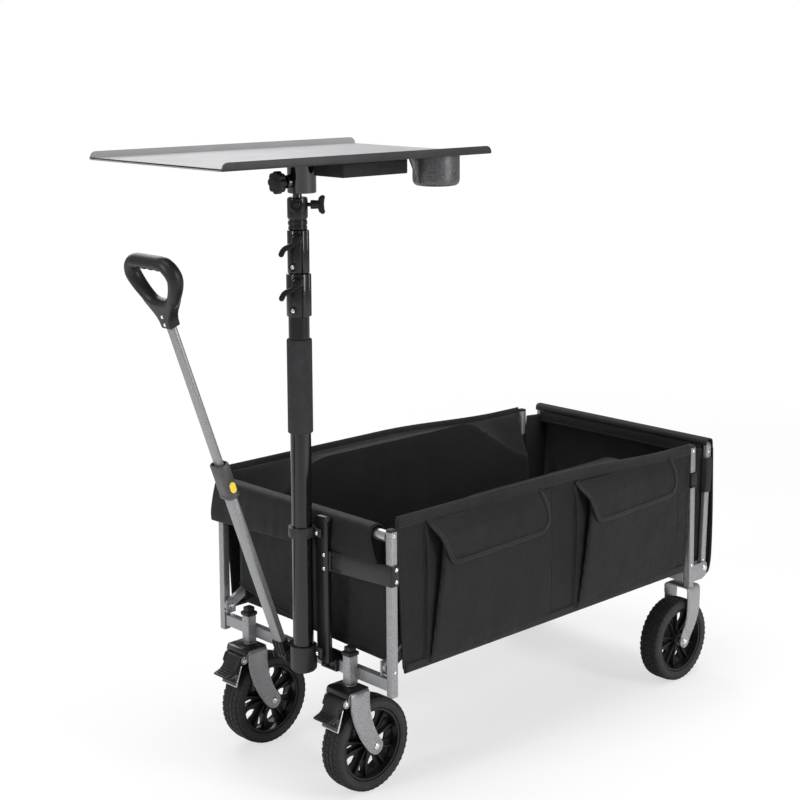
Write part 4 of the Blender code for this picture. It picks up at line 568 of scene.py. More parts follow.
def tyreBody():
    half = tyreShape["width"] / 2
    outer = tyreShape["radius"] - tyreShape["grooveDepth"]
    bead = tyreShape["bead"]
    side = [(outer, half * 0.50), (outer - 0.0006, half * 0.78), (outer - 0.0030, half * 0.90),
            (outer - 0.0052, half * 0.975), (outer - 0.0060, half * 0.955), (outer - 0.0066, half * 0.985),
            (bead + 0.0085, half), (bead + 0.0045, half * 0.985), (bead + 0.0040, half * 0.955),
            (bead + 0.0030, half * 0.955), (bead + 0.0022, half * 0.97), (bead + 0.0004, half * 0.93)]
    profile = side + [(r, -h) for r, h in side[::-1]]
    return spunPiece(profile, Matrix.Rotation(math.radians(90), 4, "X"), 96)


def treadBlocks():
    blocks = []
    for number, (y, width) in enumerate(tyreShape["rows"]):
        low = tyreShape["radius"] - tyreShape["grooveDepth"] - 0.0012
        long = tyreShape["blockLength"] / 2
        made = block((-long, y - width / 2, low), (long, y + width / 2, tyreShape["radius"] - 0.0003), 0.0007, 1)
        skew = 0.0016 if number % 2 else -0.0016    # the blocks lean into the direction of travel
        for vertex in made.data.vertices:
            vertex.co.x += skew * (vertex.co.y - y) / width * 2
            if abs(y) > 0.012 and vertex.co.y * y > y * y:
                vertex.co.z -= 0.0013               # the shoulder rows drop towards the sidewall
        made.data.transform(Matrix.Rotation(math.radians(number % 2 * 360 / tyreShape["blocks"] / 2), 4, "Y"))
        blocks.append(spinCopies(made, tyreShape["blocks"]))
    for end in (-1, 1):
        low, high = sorted(end * tyreShape["width"] / 2 * share for share in (0.80, 0.925))
        lug = block((-0.0024, low, tyreShape["radius"] - 0.0072), (0.0024, high, tyreShape["radius"] - 0.0018),
                    0.0006, 1)
        blocks.append(spinCopies(lug, tyreShape["blocks"]))
    return joinPieces("tread", blocks)


def wheelRim():
    radius = rimShape["radius"]
    half = rimShape["width"] / 2
    inner = radius - rimShape["wall"]
    edge = [(radius, half - 0.0012), (radius - 0.0008, half), (inner - 0.0012, half), (inner - 0.0014, half - 0.0016),
            (inner, half - 0.0026), (inner, 0.002)]
    turn = Matrix.Rotation(math.radians(90), 4, "X")
    pieces = [spunPiece(edge + [(r, -h) for r, h in edge[::-1]], turn, 96)]
    hub = rimShape["hub"]
    pieces.append(spunPiece([(hub, half - 0.0035), (hub - 0.0012, half - 0.002), (0.0062, half - 0.002),
                             (0.0062, -half + 0.002), (hub - 0.0012, -half + 0.002), (hub, -half + 0.0035)], turn, 48))
    web = spunPiece([(hub - 0.001, 0.002), (inner + 0.001, 0.002), (inner + 0.001, -0.002), (hub - 0.001, -0.002)],
                    turn, 96)
    for i in range(rimShape["ribs"]):
        ribTurn = 2 * math.pi * i / rimShape["ribs"] + 0.3
        for angle, lean in ((ribTurn + 0.30, 0.16), (ribTurn - 0.30, -0.16)):
            # two leaf-shaped openings in the web, either side of each straight rib
            line = []
            for t in range(9):
                share = t / 8
                out = 0.0330 + 0.0285 * share
                bow = lean * math.sin(share * math.pi) - lean * 0.4
                line.append((out * math.cos(angle + bow), out * math.sin(angle + bow)))
            leaf = strip(line, 0.0150)
            for t, (c, d) in enumerate(line):
                slim = math.sin(math.pi * (t + 0.35) / 8.7) ** 0.7
                for place in (t, 17 - t):
                    a, b = leaf[place]
                    leaf[place] = (c + (a - c) * slim, d + (b - d) * slim)
            combine(web, flatShape(leaf, 0.012, sideways(0)), "DIFFERENCE")
    pieces.append(smooth(web))
    reach = inner + 0.0025 - hub
    for i in range(2 * rimShape["ribs"]):
        # straight ribs and curved ones by turns
        angle = math.pi * i / rimShape["ribs"] + 0.3
        along = Vector((math.cos(angle), math.sin(angle)))
        across = Vector((-along.y, along.x))
        curved = i % 2
        steps = 12 if curved else 4
        line = []
        for t in range(steps + 1):
            share = t / steps
            bow = (rimShape["curve"] * math.sin(share * math.pi * 0.62) - 0.004 * share) * curved
            line.append(along * (hub - 0.001 + reach * share) + across * bow)
        pieces.append(flatShape(strip(line, rimShape["rib"]), rimShape["ribDepth"] - 0.004 * curved, sideways(0),
                                0.0006))
    return joinPieces("rim", pieces)


tyreMade = tyreBody()
treadMade = treadBlocks()
rimMade = wheelRim()
for end in ("front", "rear"):
    for side, label in sides:
        place = Matrix.Translation((axleX[end], side * wheelY[end], axleZ))
        body = "%s_wheel_%s" % (end, label)
        node = "%s_%s" % (end, label)
        finishPiece(copyPiece(tyreMade, place), node + "_tyre_body", body, tyreRubber, [node + "_tyre"])
        finishPiece(copyPiece(treadMade, place), node + "_tyre_tread", body, treadRubber)
        finishPiece(copyPiece(rimMade, place), node + "_rim_ribbed", body, rimPlastic, [node + "_rim"])
for made in (tyreMade, treadMade, rimMade):
    bpy.data.objects.remove(made, do_unlink=True)
print("wheels done")


# front casters: a folded yoke with embossed arms, a dark cover plate, kingpin and brake pedal
forkShape = {"inside": 0.0585, "wall": 0.0035, "top": 0.2030, "corner": 0.0090}
frontArm = [(0.0405, 0.1955), (0.0402, 0.1820), (0.0396, 0.1700), (0.0372, 0.1570), (0.0332, 0.1440),
            (0.0282, 0.1310), (0.0220, 0.1180), (0.0140, 0.1040), (0.0070, 0.0940), (0.0012, 0.0858), (-0.0056, 0.0788)]
rearArm = [(-0.0335, 0.0925), (-0.0300, 0.0985), (-0.0236, 0.1080), (-0.0165, 0.1210), (-0.0112, 0.1350),
           (-0.0070, 0.1500), (-0.0042, 0.1650), (-0.0030, 0.1800), (-0.0030, 0.1955)]
frontPressed = [(0.0384, 0.1940), (0.0384, 0.1820), (0.0378, 0.1700), (0.0354, 0.1574), (0.0315, 0.1448),
                (0.0266, 0.1320), (0.0204, 0.1195), (0.0100, 0.1070), (0.0012, 0.0990), (-0.0128, 0.1098),
                (-0.0070, 0.1240), (-0.0030, 0.1390), (0.0008, 0.1560), (0.0034, 0.1700), (0.0052, 0.1820),
                (0.0060, 0.1940)]


def yokeTop(low, high, middleY):
    # the folded top of a yoke between two x: an upside-down U in the plane of the axle
    inner, wall, r, top = forkShape["inside"] / 2, forkShape["wall"], forkShape["corner"], forkShape["top"]
    outer = inner + wall
    drop = top - 0.024
    outline = ([(middleY - outer, drop)] + arcPoints(middleY - outer + r, top - r, r, 180, 90, 7)
               + arcPoints(middleY + outer - r, top - r, r, 90, 0, 7) + [(middleY + outer, drop)]
               + [(middleY + inner, drop)] + arcPoints(middleY + inner - r + wall, top - r, r - wall, 0, 90, 7)
               + arcPoints(middleY - inner + r - wall, top - r, r - wall, 90, 180, 7) + [(middleY - inner, drop)])
    return flatShape(outline, high - low, endways((low + high) / 2), 0.0008)


def yokePieces(low, high, middleY, outline, pressed):
    # a yoke's top and its two arms, each with its middle pressed outwards
    pieces = [yokeTop(low, high, middleY)]
    wall = forkShape["wall"]
    for end in (-1, 1):
        y = middleY + end * (forkShape["inside"] + wall) / 2
        pieces.append(flatShape(outline[::-1], wall - 0.0010, sideways(y - end * 0.0003), 0.0008))
        pieces.append(flatShape(pressed[::-1], 0.0016, sideways(y + end * (wall / 2 - 0.0006)), 0.0007, 3))
    return pieces


def axlePieces(x, middleY):
    # the axle and its two domed ends outside the yoke
    bright = [rod((x, middleY - 0.030, axleZ), (x, middleY + 0.030, axleZ), 0.0046, 24)]
    for end in (-1, 1):
        outer = middleY + end * (forkShape["inside"] / 2 + forkShape["wall"])
        bright.append(stud((x, outer, axleZ), (0, end, 0), 0.0062, 0.0026))
    return bright


pedalPin = (0.0478, 0.1845)
for side, label in sides:
    middle = side * wheelY["front"]
    body = "caster_" + label
    pedalBody = "brake_pedal_press_" + label
    outline = frontArm + arcPoints(axleX["front"], axleZ, 0.0150, -50, -200, 13) + rearArm
    pieces = yokePieces(-0.0030, 0.0405, middle, outline, frontPressed)
    for end in (-1, 1):
        ear = barOutline((0.0330, 0.1925), pedalPin, 0.0145)
        pieces.append(flatShape(ear, 0.0025, sideways(middle + end * 0.0269), 0.0006))
    finishPiece(pieces, "caster_yoke_" + label, body, forkPaint, ["caster_fork_" + label])

    hood = [(-0.0026, 0.2024), (0.0400, 0.2024), (0.0428, 0.2010), (0.0446, 0.1950), (0.0448, 0.1905), (0.0470, 0.1905),
            (0.0474, 0.1960), (0.0456, 0.2026), (0.0412, 0.2050), (-0.0026, 0.2050)]
    cover = [flatShape(hood, 0.0600, sideways(middle), 0.0010),
             rod((stemX, middle, 0.2040), (stemX, middle, 0.2064), 0.0135, 40, 0.0126, 0.0005)]
    finishPiece(cover, "caster_cover_" + label, body, glossPlastic)
    bright = [rod((stemX, middle, 0.2052), (stemX, middle, 0.2072), 0.0112, 36, None, 0.0005),
              rod((stemX, middle, 0.2060), (stemX, middle, 0.2300), 0.0070, 24)] + axlePieces(axleX["front"], middle)
    for end in (-1, 1):
        bright.append(stud((pedalPin[0], middle + end * 0.0281, pedalPin[1]), (0, end, 0), 0.0042, 0.0020))
    finishPiece(bright, "caster_pins_" + label, body, brightSteel)

    # the brake pedal: a rounded block on its pin, a foot tongue with short ribs and a steel blade under it
    x, z = pedalPin
    tongue = [(x - 0.0058, z - 0.0040), (x - 0.0064, z + 0.0026), (x - 0.0042, z + 0.0064), (x + 0.0012, z + 0.0078),
             (x + 0.0064, z + 0.0058), (x + 0.0108, z - 0.0014), (x + 0.0146, z - 0.0100), (x + 0.0190, z - 0.0172),
             (x + 0.0250, z - 0.0212), (x + 0.0330, z - 0.0238), (x + 0.0376, z - 0.0254), (x + 0.0386, z - 0.0276),
             (x + 0.0370, z - 0.0292), (x + 0.0270, z - 0.0284), (x + 0.0190, z - 0.0258), (x + 0.0130, z - 0.0222),
             (x + 0.0080, z - 0.0150), (x + 0.0030, z - 0.0090)]
    plastic = [flatShape(tongue[::-1], 0.0420, sideways(middle), 0.0016)]
    cheek = [(x - 0.0070, z - 0.0030), (x - 0.0074, z + 0.0022), (x - 0.0046, z + 0.0074), (x + 0.0012, z + 0.0086),
             (x + 0.0074, z + 0.0062), (x + 0.0120, z - 0.0016), (x + 0.0140, z - 0.0074), (x + 0.0110, z - 0.0110),
             (x + 0.0040, z - 0.0096)]
    for end in (-1, 1):
        plastic.append(flatShape(cheek[::-1], 0.0052, sideways(middle + end * 0.0224), 0.0014))
    plastic.append(flatShape([(px - 0.0012, pz - 0.0012) for px, pz in cheek[::-1]], 0.0120, sideways(middle), 0.0012))
    for i in range(3):
        # the tongue's ribs lie across it, each a little shorter towards its tip
        px, pz = x + 0.0225 + 0.0054 * i, z - 0.0192 - 0.0019 * i
        reach = 0.0175 - 0.0020 * i
        plastic.append(rod((px, middle - reach, pz), (px, middle + reach, pz), 0.0014, 10))
    plastic.append(rod((x, middle - 0.0285, z), (x, middle + 0.0285, z), 0.0034, 20))
    finishPiece(plastic, "brake_pedal_moulded_" + label, pedalBody, blackPlastic, ["brake_pedal_" + label])
    blade = [(x + 0.0030, z - 0.0085), (x + 0.0058, z - 0.0160), (x + 0.0096, z - 0.0280), (x + 0.0148, z - 0.0440),
             (x + 0.0164, z - 0.0486)]
    plate = flatShape(strip(blade, 0.0020), 0.0440, sideways(middle), 0.0004)
    for end in (-1, 1):
        y = middle + end * 0.0120
        combine(plate, rod((x - 0.002, y, z - 0.0330), (x + 0.026, y, z - 0.0420), 0.0026, 16), "DIFFERENCE")
    finishPiece(plate, "brake_blade_" + label, pedalBody, bladeSteel)
    edges = [flatShape(strip(blade, 0.0026), 0.0014, sideways(middle + end * 0.0220), 0.0004) for end in (-1, 1)]
    tipX, tipZ = blade[-1]
    edges.append(rod((tipX, middle - 0.0224, tipZ), (tipX, middle + 0.0224, tipZ), 0.0013, 12))
    finishPiece(edges, "brake_blade_edges_" + label, pedalBody, brightSteel)
print("casters done")


# rear forks: fixed yokes under the rear posts
rearX = -0.851
rearArms = {"front": [(-0.8424, 0.1960), (-0.8429, 0.1800), (-0.8428, 0.1650), (-0.8418, 0.1500), (-0.8396, 0.1350),
                      (-0.8350, 0.1230), (-0.8290, 0.1130), (-0.8225, 0.1010)],
            "rear": [(-0.8468, 0.0830), (-0.8520, 0.0930), (-0.8620, 0.1060), (-0.8720, 0.1210), (-0.8790, 0.1370),
                     (-0.8830, 0.1540), (-0.8842, 0.1740), (-0.8838, 0.1960)],
            "pressed": [(-0.8465, 0.1940), (-0.8468, 0.1700), (-0.8455, 0.1480), (-0.8410, 0.1310), (-0.8330, 0.1180),
                        (-0.8440, 0.1080), (-0.8560, 0.1110), (-0.8680, 0.1270), (-0.8755, 0.1430), (-0.8790, 0.1600),
                        (-0.8798, 0.1940)]}
for side, label in sides:
    middle = side * wheelY["rear"]
    outline = rearArms["front"] + arcPoints(axleX["rear"], axleZ, 0.0140, 38, -200, 15) + rearArms["rear"]
    finishPiece(yokePieces(-0.8838, -0.8424, middle, outline, rearArms["pressed"]), "rear_yoke_" + label,
                "rear_frame", forkPaint, ["rear_fork_" + label])
    finishPiece(axlePieces(axleX["rear"], middle), "rear_axle_" + label, "rear_frame", brightSteel)
print("rear forks done")


# end frames: square posts with their caps, rivets, link brackets and the caster stems
postShape = {"side": 0.015, "outer": 0.253, "frontFoot": 0.2055, "rearFoot": 0.2033, "top": 0.508, "edge": 0.0018,
             "rivets": (0.5005, 0.252), "rivet": 0.0036, "capTop": 0.5118}
linkPinZ = 0.257
gateBar = (0.2375, 0.2475)    # the gate's side bars, inner and outer y
gatePinX, gatePinZ = rearX - 0.0475, 0.236
half = postShape["side"] / 2
for end, x, foot, body in (("front", 0.0, postShape["frontFoot"], "front_frame"),
                           ("rear", rearX, postShape["rearFoot"], "rear_frame")):
    linkIn = (0.229 if end == "front" else 0.220) - 0.0012
    for side, label in sides:
        outer = side * postShape["outer"]
        inner = side * (postShape["outer"] - postShape["side"])
        pieces = [block((x - half, min(inner, outer), foot), (x + half, max(inner, outer), postShape["top"]),
                        postShape["edge"], 3)]
        ear = [side * (linkIn - 0.003), side * linkIn]
        web = [side * (linkIn - 0.002), inner + side * 0.001]
        pieces.append(block((x - 0.011, min(ear), 0.2425), (x + 0.011, max(ear), 0.270), 0.0014))
        pieces.append(block((x - 0.0072, min(web), 0.2435), (x + 0.0072, max(web), 0.2465), 0.0006))
        if end == "rear":
            # two ears, either side of the gate's bar, with a web between them
            gateIn, gateOut = gateBar[0] - 0.0008, gateBar[1] + 0.0008
            outline = [(x - 0.0565, 0.2290), (x - 0.0520, 0.2180), (x - 0.0400, 0.2128), (x - 0.0065, 0.2128),
                       (x - 0.0065, 0.2488), (x - 0.0490, 0.2488), (x - 0.0550, 0.2450)]
            for low, high in ((gateOut, gateOut + 0.003), (gateIn - 0.003, gateIn)):
                pieces.append(flatShape(outline, 0.003, sideways(side * (low + high) / 2), 0.0009))
            web = [side * (gateIn - 0.002), side * (gateOut + 0.002)]
            pieces.append(block((x - 0.0310, min(web), 0.2138), (x - 0.0065, max(web), 0.2478), 0.0012))
        finishPiece(pieces, "%s_%s_post_tube" % (end, label), body, greyPaint, ["%s_post_%s" % (end, label)])
        dark = [block((x - half + 0.0003, min(inner, outer) + 0.0003, postShape["top"] - 0.002),
                      (x + half - 0.0003, max(inner, outer) - 0.0003, postShape["capTop"]), 0.0014, 3)]
        if end == "rear":
            # the clip that holds the gate's bar, with two raised lips
            low, high = sorted((inner - side * 0.0025, outer + side * 0.0025))
            dark.append(block((x - half - 0.0025, low, 0.4215), (x + half + 0.0015, high, 0.4545), 0.0014, 3))
            lip = sorted((outer + side * 0.0022, outer + side * 0.0040))
            for z in (0.4245, 0.4515):
                dark.append(block((x - half - 0.0022, lip[0], z - 0.0012), (x + half + 0.0010, lip[1], z + 0.0012),
                                  0.0006))
            dark.append(rod((gatePinX, side * 0.2340, gatePinZ), (gatePinX, side * 0.2520, gatePinZ), 0.0040, 20))
        finishPiece(dark, "%s_%s_post_cap" % (end, label), body, blackPlastic)
        bright = [stud((x, outer, z), (0, side, 0), postShape["rivet"], 0.0018) for z in postShape["rivets"]]
        bright.append(rod((x, side * (linkIn - 0.0045), linkPinZ), (x, inner, linkPinZ), 0.0034, 20))
        bright.append(stud((x, side * (linkIn - 0.003), linkPinZ), (0, -side, 0), 0.0056, 0.0022))
        if end == "rear":
            bright.append(stud((gatePinX, side * 0.2513, gatePinZ), (0, side, 0), 0.0068, 0.0030))
        finishPiece(bright, "%s_%s_rivets" % (end, label), body, brightSteel)
    dress(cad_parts["%s_lower_rail" % end], greyPaint)

stemShape = {"side": 0.020, "low": 0.208, "high": 0.262, "flange": 0.024, "button": 0.0165}
for side, label in sides:
    y = side * wheelY["front"]
    half = stemShape["side"] / 2
    stem = block((stemX - half, y - half, stemShape["low"]), (stemX + half, y + half, stemShape["high"]), 0.0020, 3)
    combine(stem, rod((stemX, y, stemShape["low"] - 0.001), (stemX, y, stemShape["low"] + 0.028), 0.0088, 32),
            "DIFFERENCE")
    pieces = [stem]
    for end in (-1, 1):
        # a weld bead runs down each rear corner, where the stem meets the rail
        line = [(0.0047 + 0.0004 * math.sin(i * 2.1), y + end * (half + 0.0004), 0.2160 + 0.0025 * i) for i in range(9)]
        pieces.append(sweep(line, 0.0016, False, 3, "NURBS"))
        for i in range(8):
            z = 0.2165 + 0.0026 * i
            pieces.append(rod((0.0030, y + end * (half + 0.0002), z), (0.0066, y + end * (half + 0.0006), z + 0.0006),
                              0.0017, 10))
    finishPiece(pieces, "caster_stem_" + label, "front_frame", greyPaint, ["caster_tube_" + label])
    low, high = stemShape["flange"] / 2, stemShape["button"] / 2
    plug = [block((stemX - low, y - low, 0.2612), (stemX + low, y + low, 0.2690), 0.0024, 4),
            block((stemX - high, y - high, 0.2680), (stemX + high, y + high, 0.2780), 0.0022, 4)]
    for turn in (-1, 1):
        notch = block((stemX - low - 0.001, y + turn * 0.0060 - 0.0016, 0.2640),
                      (stemX - low + 0.0030, y + turn * 0.0060 + 0.0016, 0.2700), 0.0004)
        combine(plug[0], notch, "DIFFERENCE")
    finishPiece(plug, "caster_plug_" + label, "front_frame", blackPlastic)
print("end frames done")


# mast bracket: channel with its saddle, ring clamp, socket and the strap round the left post
mastShape = {"x": 0.045, "y": 0.054, "face": math.radians(45), "knob": math.radians(135)}
channelShape = {"x": (0.0200, 0.0300), "y": (0.0735, 0.1065), "z": (0.2400, 0.5090), "wall": 0.0030, "round": 0.0075}


def channelPiece():
    # an open channel whose flanges point back to the bag, with its upper corners rounded
    x0, x1 = channelShape["x"]
    y0, y1 = channelShape["y"]
    z0, z1 = channelShape["z"]
    r = channelShape["round"]
    outline = [(y0, z0), (y1, z0)] + arcPoints(y1 - r, z1 - r, r, 0, 90, 7) + arcPoints(y0 + r, z1 - r, r, 90, 180, 7)
    made = flatShape(outline, x1 - x0, endways((x0 + x1) / 2), 0.0016, 3)
    w = channelShape["wall"]
    hollow = block((x0 - 0.002, y0 + w, z0 + 0.012), (x1 - w, y1 - w, z1 - w), 0.0010)
    return combine(made, hollow, "DIFFERENCE")


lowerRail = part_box("front_lower_rail")
railTop, railFace, railBack = lowerRail[1].z, lowerRail[1].x - frontX, lowerRail[0].x - frontX
y0, y1 = channelShape["y"]
pieces = [channelPiece(),
          block((railBack, y0 + 0.0012, railTop + 0.0003), (0.0290, y1 - 0.0012, railTop + 0.0046), 0.0008)]
saddle = block((railBack + 0.0002, y0 - 0.0120, railTop + 0.0004), (railFace + 0.0063, y1 - 0.0010, railTop + 0.0040),
               0.0008)
lip = block((railFace + 0.0003, y0 - 0.0120, 0.2155), (railFace + 0.0065, y1 - 0.0010, railTop + 0.0030), 0.0012)
for y in (y0 - 0.0040, y0 + 0.0080, y1 - 0.0080):
    combine(lip, rod((railFace - 0.002, y, 0.2240), (railFace + 0.010, y, 0.2240), 0.0022, 16), "DIFFERENCE")
pieces += [saddle, lip]
for low, high, rounding in (((y0 - 0.008, 0.0025), (railBack + 0.004, 0.0115), 0.0010),
                            ((y1 - 0.002, 0.0003), (railFace - 0.001, 0.0035), 0.0008)):
    # the saddle's foot runs on along the rail, towards the left post
    pieces.append(block((railBack + 0.0005, low[0], railTop + low[1]), (high[0], 0.1370, railTop + high[1]), rounding))
finishPiece(pieces, "mast_channel_folded", "front_frame", bracketPaint, ["mast_channel"])

bright = [stud(place, (1, 0, 0), 0.0040, 0.0018, True)
          for place in ((0.0300, 0.0960, 0.4387), (0.0300, 0.0960, 0.4131), (0.0372, 0.0850, 0.478))]
bright.append(stud((0.0400, 0.0860, 0.254), (1, 0, 0), 0.0044, 0.0026))
finishPiece(bright, "mast_bracket_screws", "front_frame", brightSteel)

upright = Matrix.Translation((mastShape["x"], mastShape["y"], 0))
ringProfile = [(0.0250, 0.4705), (0.0246, 0.4692), (0.0191, 0.4692), (0.0191, 0.4868), (0.0246, 0.4868),
               (0.0250, 0.4855)]
ringPieces = [spunPiece(ringProfile, upright, 72), block((0.0303, 0.0735, 0.4700), (0.0350, 0.0935, 0.4860), 0.0016, 3),
              rod((0.0345, 0.0850, 0.478), (0.0372, 0.0850, 0.478), 0.0056, 24, 0.0050)]
finishPiece(ringPieces, "mast_ring_folded", "front_frame", ringPaint, ["mast_ring_clamp"])

socketProfile = [(0, 0.2215), (0.0191, 0.2215), (0.0191, 0.2634), (0.0196, 0.2640), (0.0240, 0.2640), (0.0245, 0.2634),
                 (0.0245, 0.2222), (0.0238, 0.2198), (0.0206, 0.2162), (0.0196, 0.2158), (0.0150, 0.2134), (0, 0.2130)]
socket = [spunPiece(socketProfile, upright, 72, closed=False)]
socket.append(block((0.0303, 0.0735, 0.2440), (0.0370, 0.0945, 0.2630), 0.0024, 3))
socket.append(rod((0.0365, 0.0860, 0.254), (0.0402, 0.0860, 0.254), 0.0052, 6, None, 0.0005))
finishPiece(socket, "mast_socket_turned", "front_frame", ringPaint, ["mast_socket"])

strapShape = {"z": (0.4100, 0.4480), "thick": 0.003}
line = [(0.0247, 0.1068), (0.0094, 0.2380), (0.0093, 0.2500), (0.0086, 0.2538), (0.0060, 0.2548), (0.0000, 0.2548),
        (-0.0075, 0.2548)]
low, high = strapShape["z"]
strap = [flatShape(strip(line, strapShape["thick"])[::-1], high - low,
                   Matrix.Translation((0, 0, (low + high) / 2)), 0.0007)]
for z in (0.4145, 0.4430):
    strap.append(rod((0.0262, 0.1100, z), (0.0228, 0.1330, z), 0.0016, 12))
strap.append(rod((0.0262, 0.1095, 0.4105), (0.0262, 0.1095, 0.4475), 0.0026, 16))
finishPiece(strap, "mast_strap_folded", "front_frame", bracketPaint, ["mast_strap"])
bright = [stud((-0.0020, 0.2563, z), (0, 1, 0), 0.0040, 0.0018) for z in (0.4180, 0.4400)]
finishPiece(bright, "mast_strap_rivets", "front_frame", brightSteel)
print("mast bracket done")


# mast: tubes, foam grip, clamp collars with levers, head and knobs
def tubePiece(radius, wall, low, high, steps=64):
    return spunPiece([(radius, low + 0.0006), (radius - 0.0005, low), (radius - wall, low), (radius - wall, high),
                      (radius - 0.0005, high), (radius, high - 0.0006)], upright, steps)


for name, body, radius, wall, low, high in (("lower", "front_frame", 0.0188, 0.0018, 0.2218, 0.880),
                                            ("middle", "mast_middle", 0.0160, 0.0016, 0.300, 0.9618),
                                            ("top", "mast_top", 0.0132, 0.0020, 0.340, 1.0396)):
    finishPiece(tubePiece(radius, wall, low, high), "mast_%s_tube_round" % name, body, mastPaint,
                ["mast_%s_tube" % name])
foamProfile = [(0.0191, 0.6612), (0.0216, 0.6610), (0.0224, 0.6618), (0.0227, 0.6640), (0.0227, 0.8280),
               (0.0224, 0.8302), (0.0216, 0.8310), (0.0191, 0.8308)]
finishPiece(spunPiece(foamProfile, upright, 72), "mast_foam_sleeve", "front_frame", gripFoam, ["foam_grip"])

mastAxis = Vector((mastShape["x"], mastShape["y"], 0))
faceOut = Vector((math.cos(mastShape["face"]), math.sin(mastShape["face"]), 0))
collarHigh, headHigh, jointGap = 0.0775, 0.0575, 0.0003
leverShape = {"up": 0.063, "reach": 0.0262, "sway": 0.0019, "wide": 0.0086, "proud": 0.003}


def onMast(z):
    return mastAxis + Vector((0, 0, z))


def standing(place, ahead):
    # the matrix of a flat shape whose x runs along ahead and whose y runs up
    return Matrix.Translation(place) @ Matrix((
        (ahead.x, 0, ahead.y, 0), (ahead.y, 0, -ahead.x, 0), (0, 1, 0, 0), (0, 0, 0, 1)))


def collarPiece(foot, radius, lowerBore, upperBore, step):
    # a smooth cast clamp: a round body, a slit down its side and the clamping lug behind the slit
    top = foot + collarHigh
    profile = [(lowerBore, foot), (radius - 0.0020, foot), (radius - 0.0006, foot + 0.0008), (radius, foot + 0.0024),
               (radius, top - 0.0024), (radius - 0.0006, top - 0.0008), (radius - 0.0020, top), (upperBore, top),
               (upperBore, step), (lowerBore, step)]
    body = spunPiece(profile, upright, 72)
    slit = mastShape["face"] + math.asin(0.0088 / radius)
    groove = block((lowerBore + 0.0006, -0.0013, foot - 0.002), (radius + 0.004, 0.0013, top + 0.002), 0.0)
    groove.data.transform(Matrix.Translation(mastAxis) @ Matrix.Rotation(slit, 4, "Z"))
    combine(body, groove, "DIFFERENCE")
    lug = mastShape["face"] + math.radians(78)
    offset = Vector((math.cos(lug), math.sin(lug), 0)) * (radius - 0.0052)
    lobe = rod(onMast(foot + 0.0010) + offset, onMast(top - 0.0010) + offset, 0.0070, 40, None, 0.0012)
    combine(lobe, rod(onMast(foot - 0.01), onMast(top + 0.01), lowerBore + 0.0004, 72), "DIFFERENCE")
    boss = spunPiece([(0, -0.0010), (0.0074, -0.0010), (0.0078, 0.0), (0.0090, 0.0), (0.0098, -0.0008),
                      (0.0106, -0.0016), (0.0108, -0.0070), (0, -0.0070)],
                     facing(onMast(foot + leverShape["up"]) + faceOut * (radius + leverShape["proud"]), faceOut), 40,
                     closed=False)
    return joinPieces("collar", [body, lobe, boss])


def collarBolt(foot, radius):
    # the clamp bolt low on the collar: a raised ring round a cross-slotted head
    turn = mastShape["face"] - math.asin(0.0086 / radius)
    out = Vector((math.cos(turn), math.sin(turn), 0))
    place = onMast(foot + 0.0122) + out * radius
    ring = spunPiece([(0.0048, -0.0060), (0.0048, 0.0004), (0.0056, 0.0018), (0.0070, 0.0018), (0.0080, 0.0008),
                      (0.0084, -0.0060)], facing(place, out), 40)
    return ring, stud(place + out * 0.0002, out, 0.0042, 0.0016, True)


def leverPiece(foot, radius):
    # a round boss with an S-curved handle that widens towards it
    aside = Vector((faceOut.y, -faceOut.x, 0))
    centre = onMast(foot + leverShape["up"])
    base = radius + leverShape["proud"] + jointGap
    pieces = [rod(centre + faceOut * base, centre + faceOut * (base + 0.0120), 0.0084, 40, 0.0078, 0.0010)]
    pieces.append(spunPiece([(0, 0.0012), (0.0042, 0.0011), (0.0050, 0.0002), (0.0050, -0.001), (0, -0.001)],
                            facing(centre + faceOut * (base + 0.0122), faceOut), 32, closed=False))
    line, steps, reach = [], 18, leverShape["reach"]
    for i in range(steps + 1):
        share = i / steps
        sway = leverShape["sway"] * math.sin(2 * math.pi * share)
        line.append((reach * share - sway, -reach * share - sway))
    left, right = stripSides(line, lambda share: leverShape["wide"] / 2
                             * (1.0 + 0.75 * max(0.0, 1 - share / 0.22) + 0.16 * share))
    tip = Vector(line[-1])
    ahead = heading(line, steps)
    turn = math.degrees(math.atan2(ahead.y, ahead.x))
    outline = right + arcPoints(tip.x, tip.y, (Vector(right[-1]) - tip).length, turn - 70, turn + 70, 7) + left[::-1]
    pieces.append(flatShape(outline, 0.0088, standing(centre + faceOut * (base + 0.0078), aside), 0.0026, 4))
    return pieces


lowerFoot = 0.872
upperFoot = lowerFoot + collarHigh + jointGap
headFoot = upperFoot + collarHigh + jointGap
for name, foot, radius, bores, step, body, turning in (
        ("lower", lowerFoot, 0.0218, (0.0191, 0.0163), 0.8803, "front_frame", "lower_lever_turn"),
        ("upper", upperFoot, 0.0190, (0.0163, 0.0135), 0.9621, "mast_middle", "upper_lever_turn")):
    ring, bolt = collarBolt(foot, radius)
    collar = [collarPiece(foot, radius, *bores, step), ring]
    finishPiece(collar, "mast_%s_collar_cast" % name, body, collarPaint, ["mast_%s_collar" % name])
    finishPiece(bolt, "mast_%s_collar_bolt" % name, body, brightSteel)
    finishPiece(leverPiece(foot, radius), "%s_lever_curved" % name, turning, glossPlastic, ["%s_collar_lever" % name])

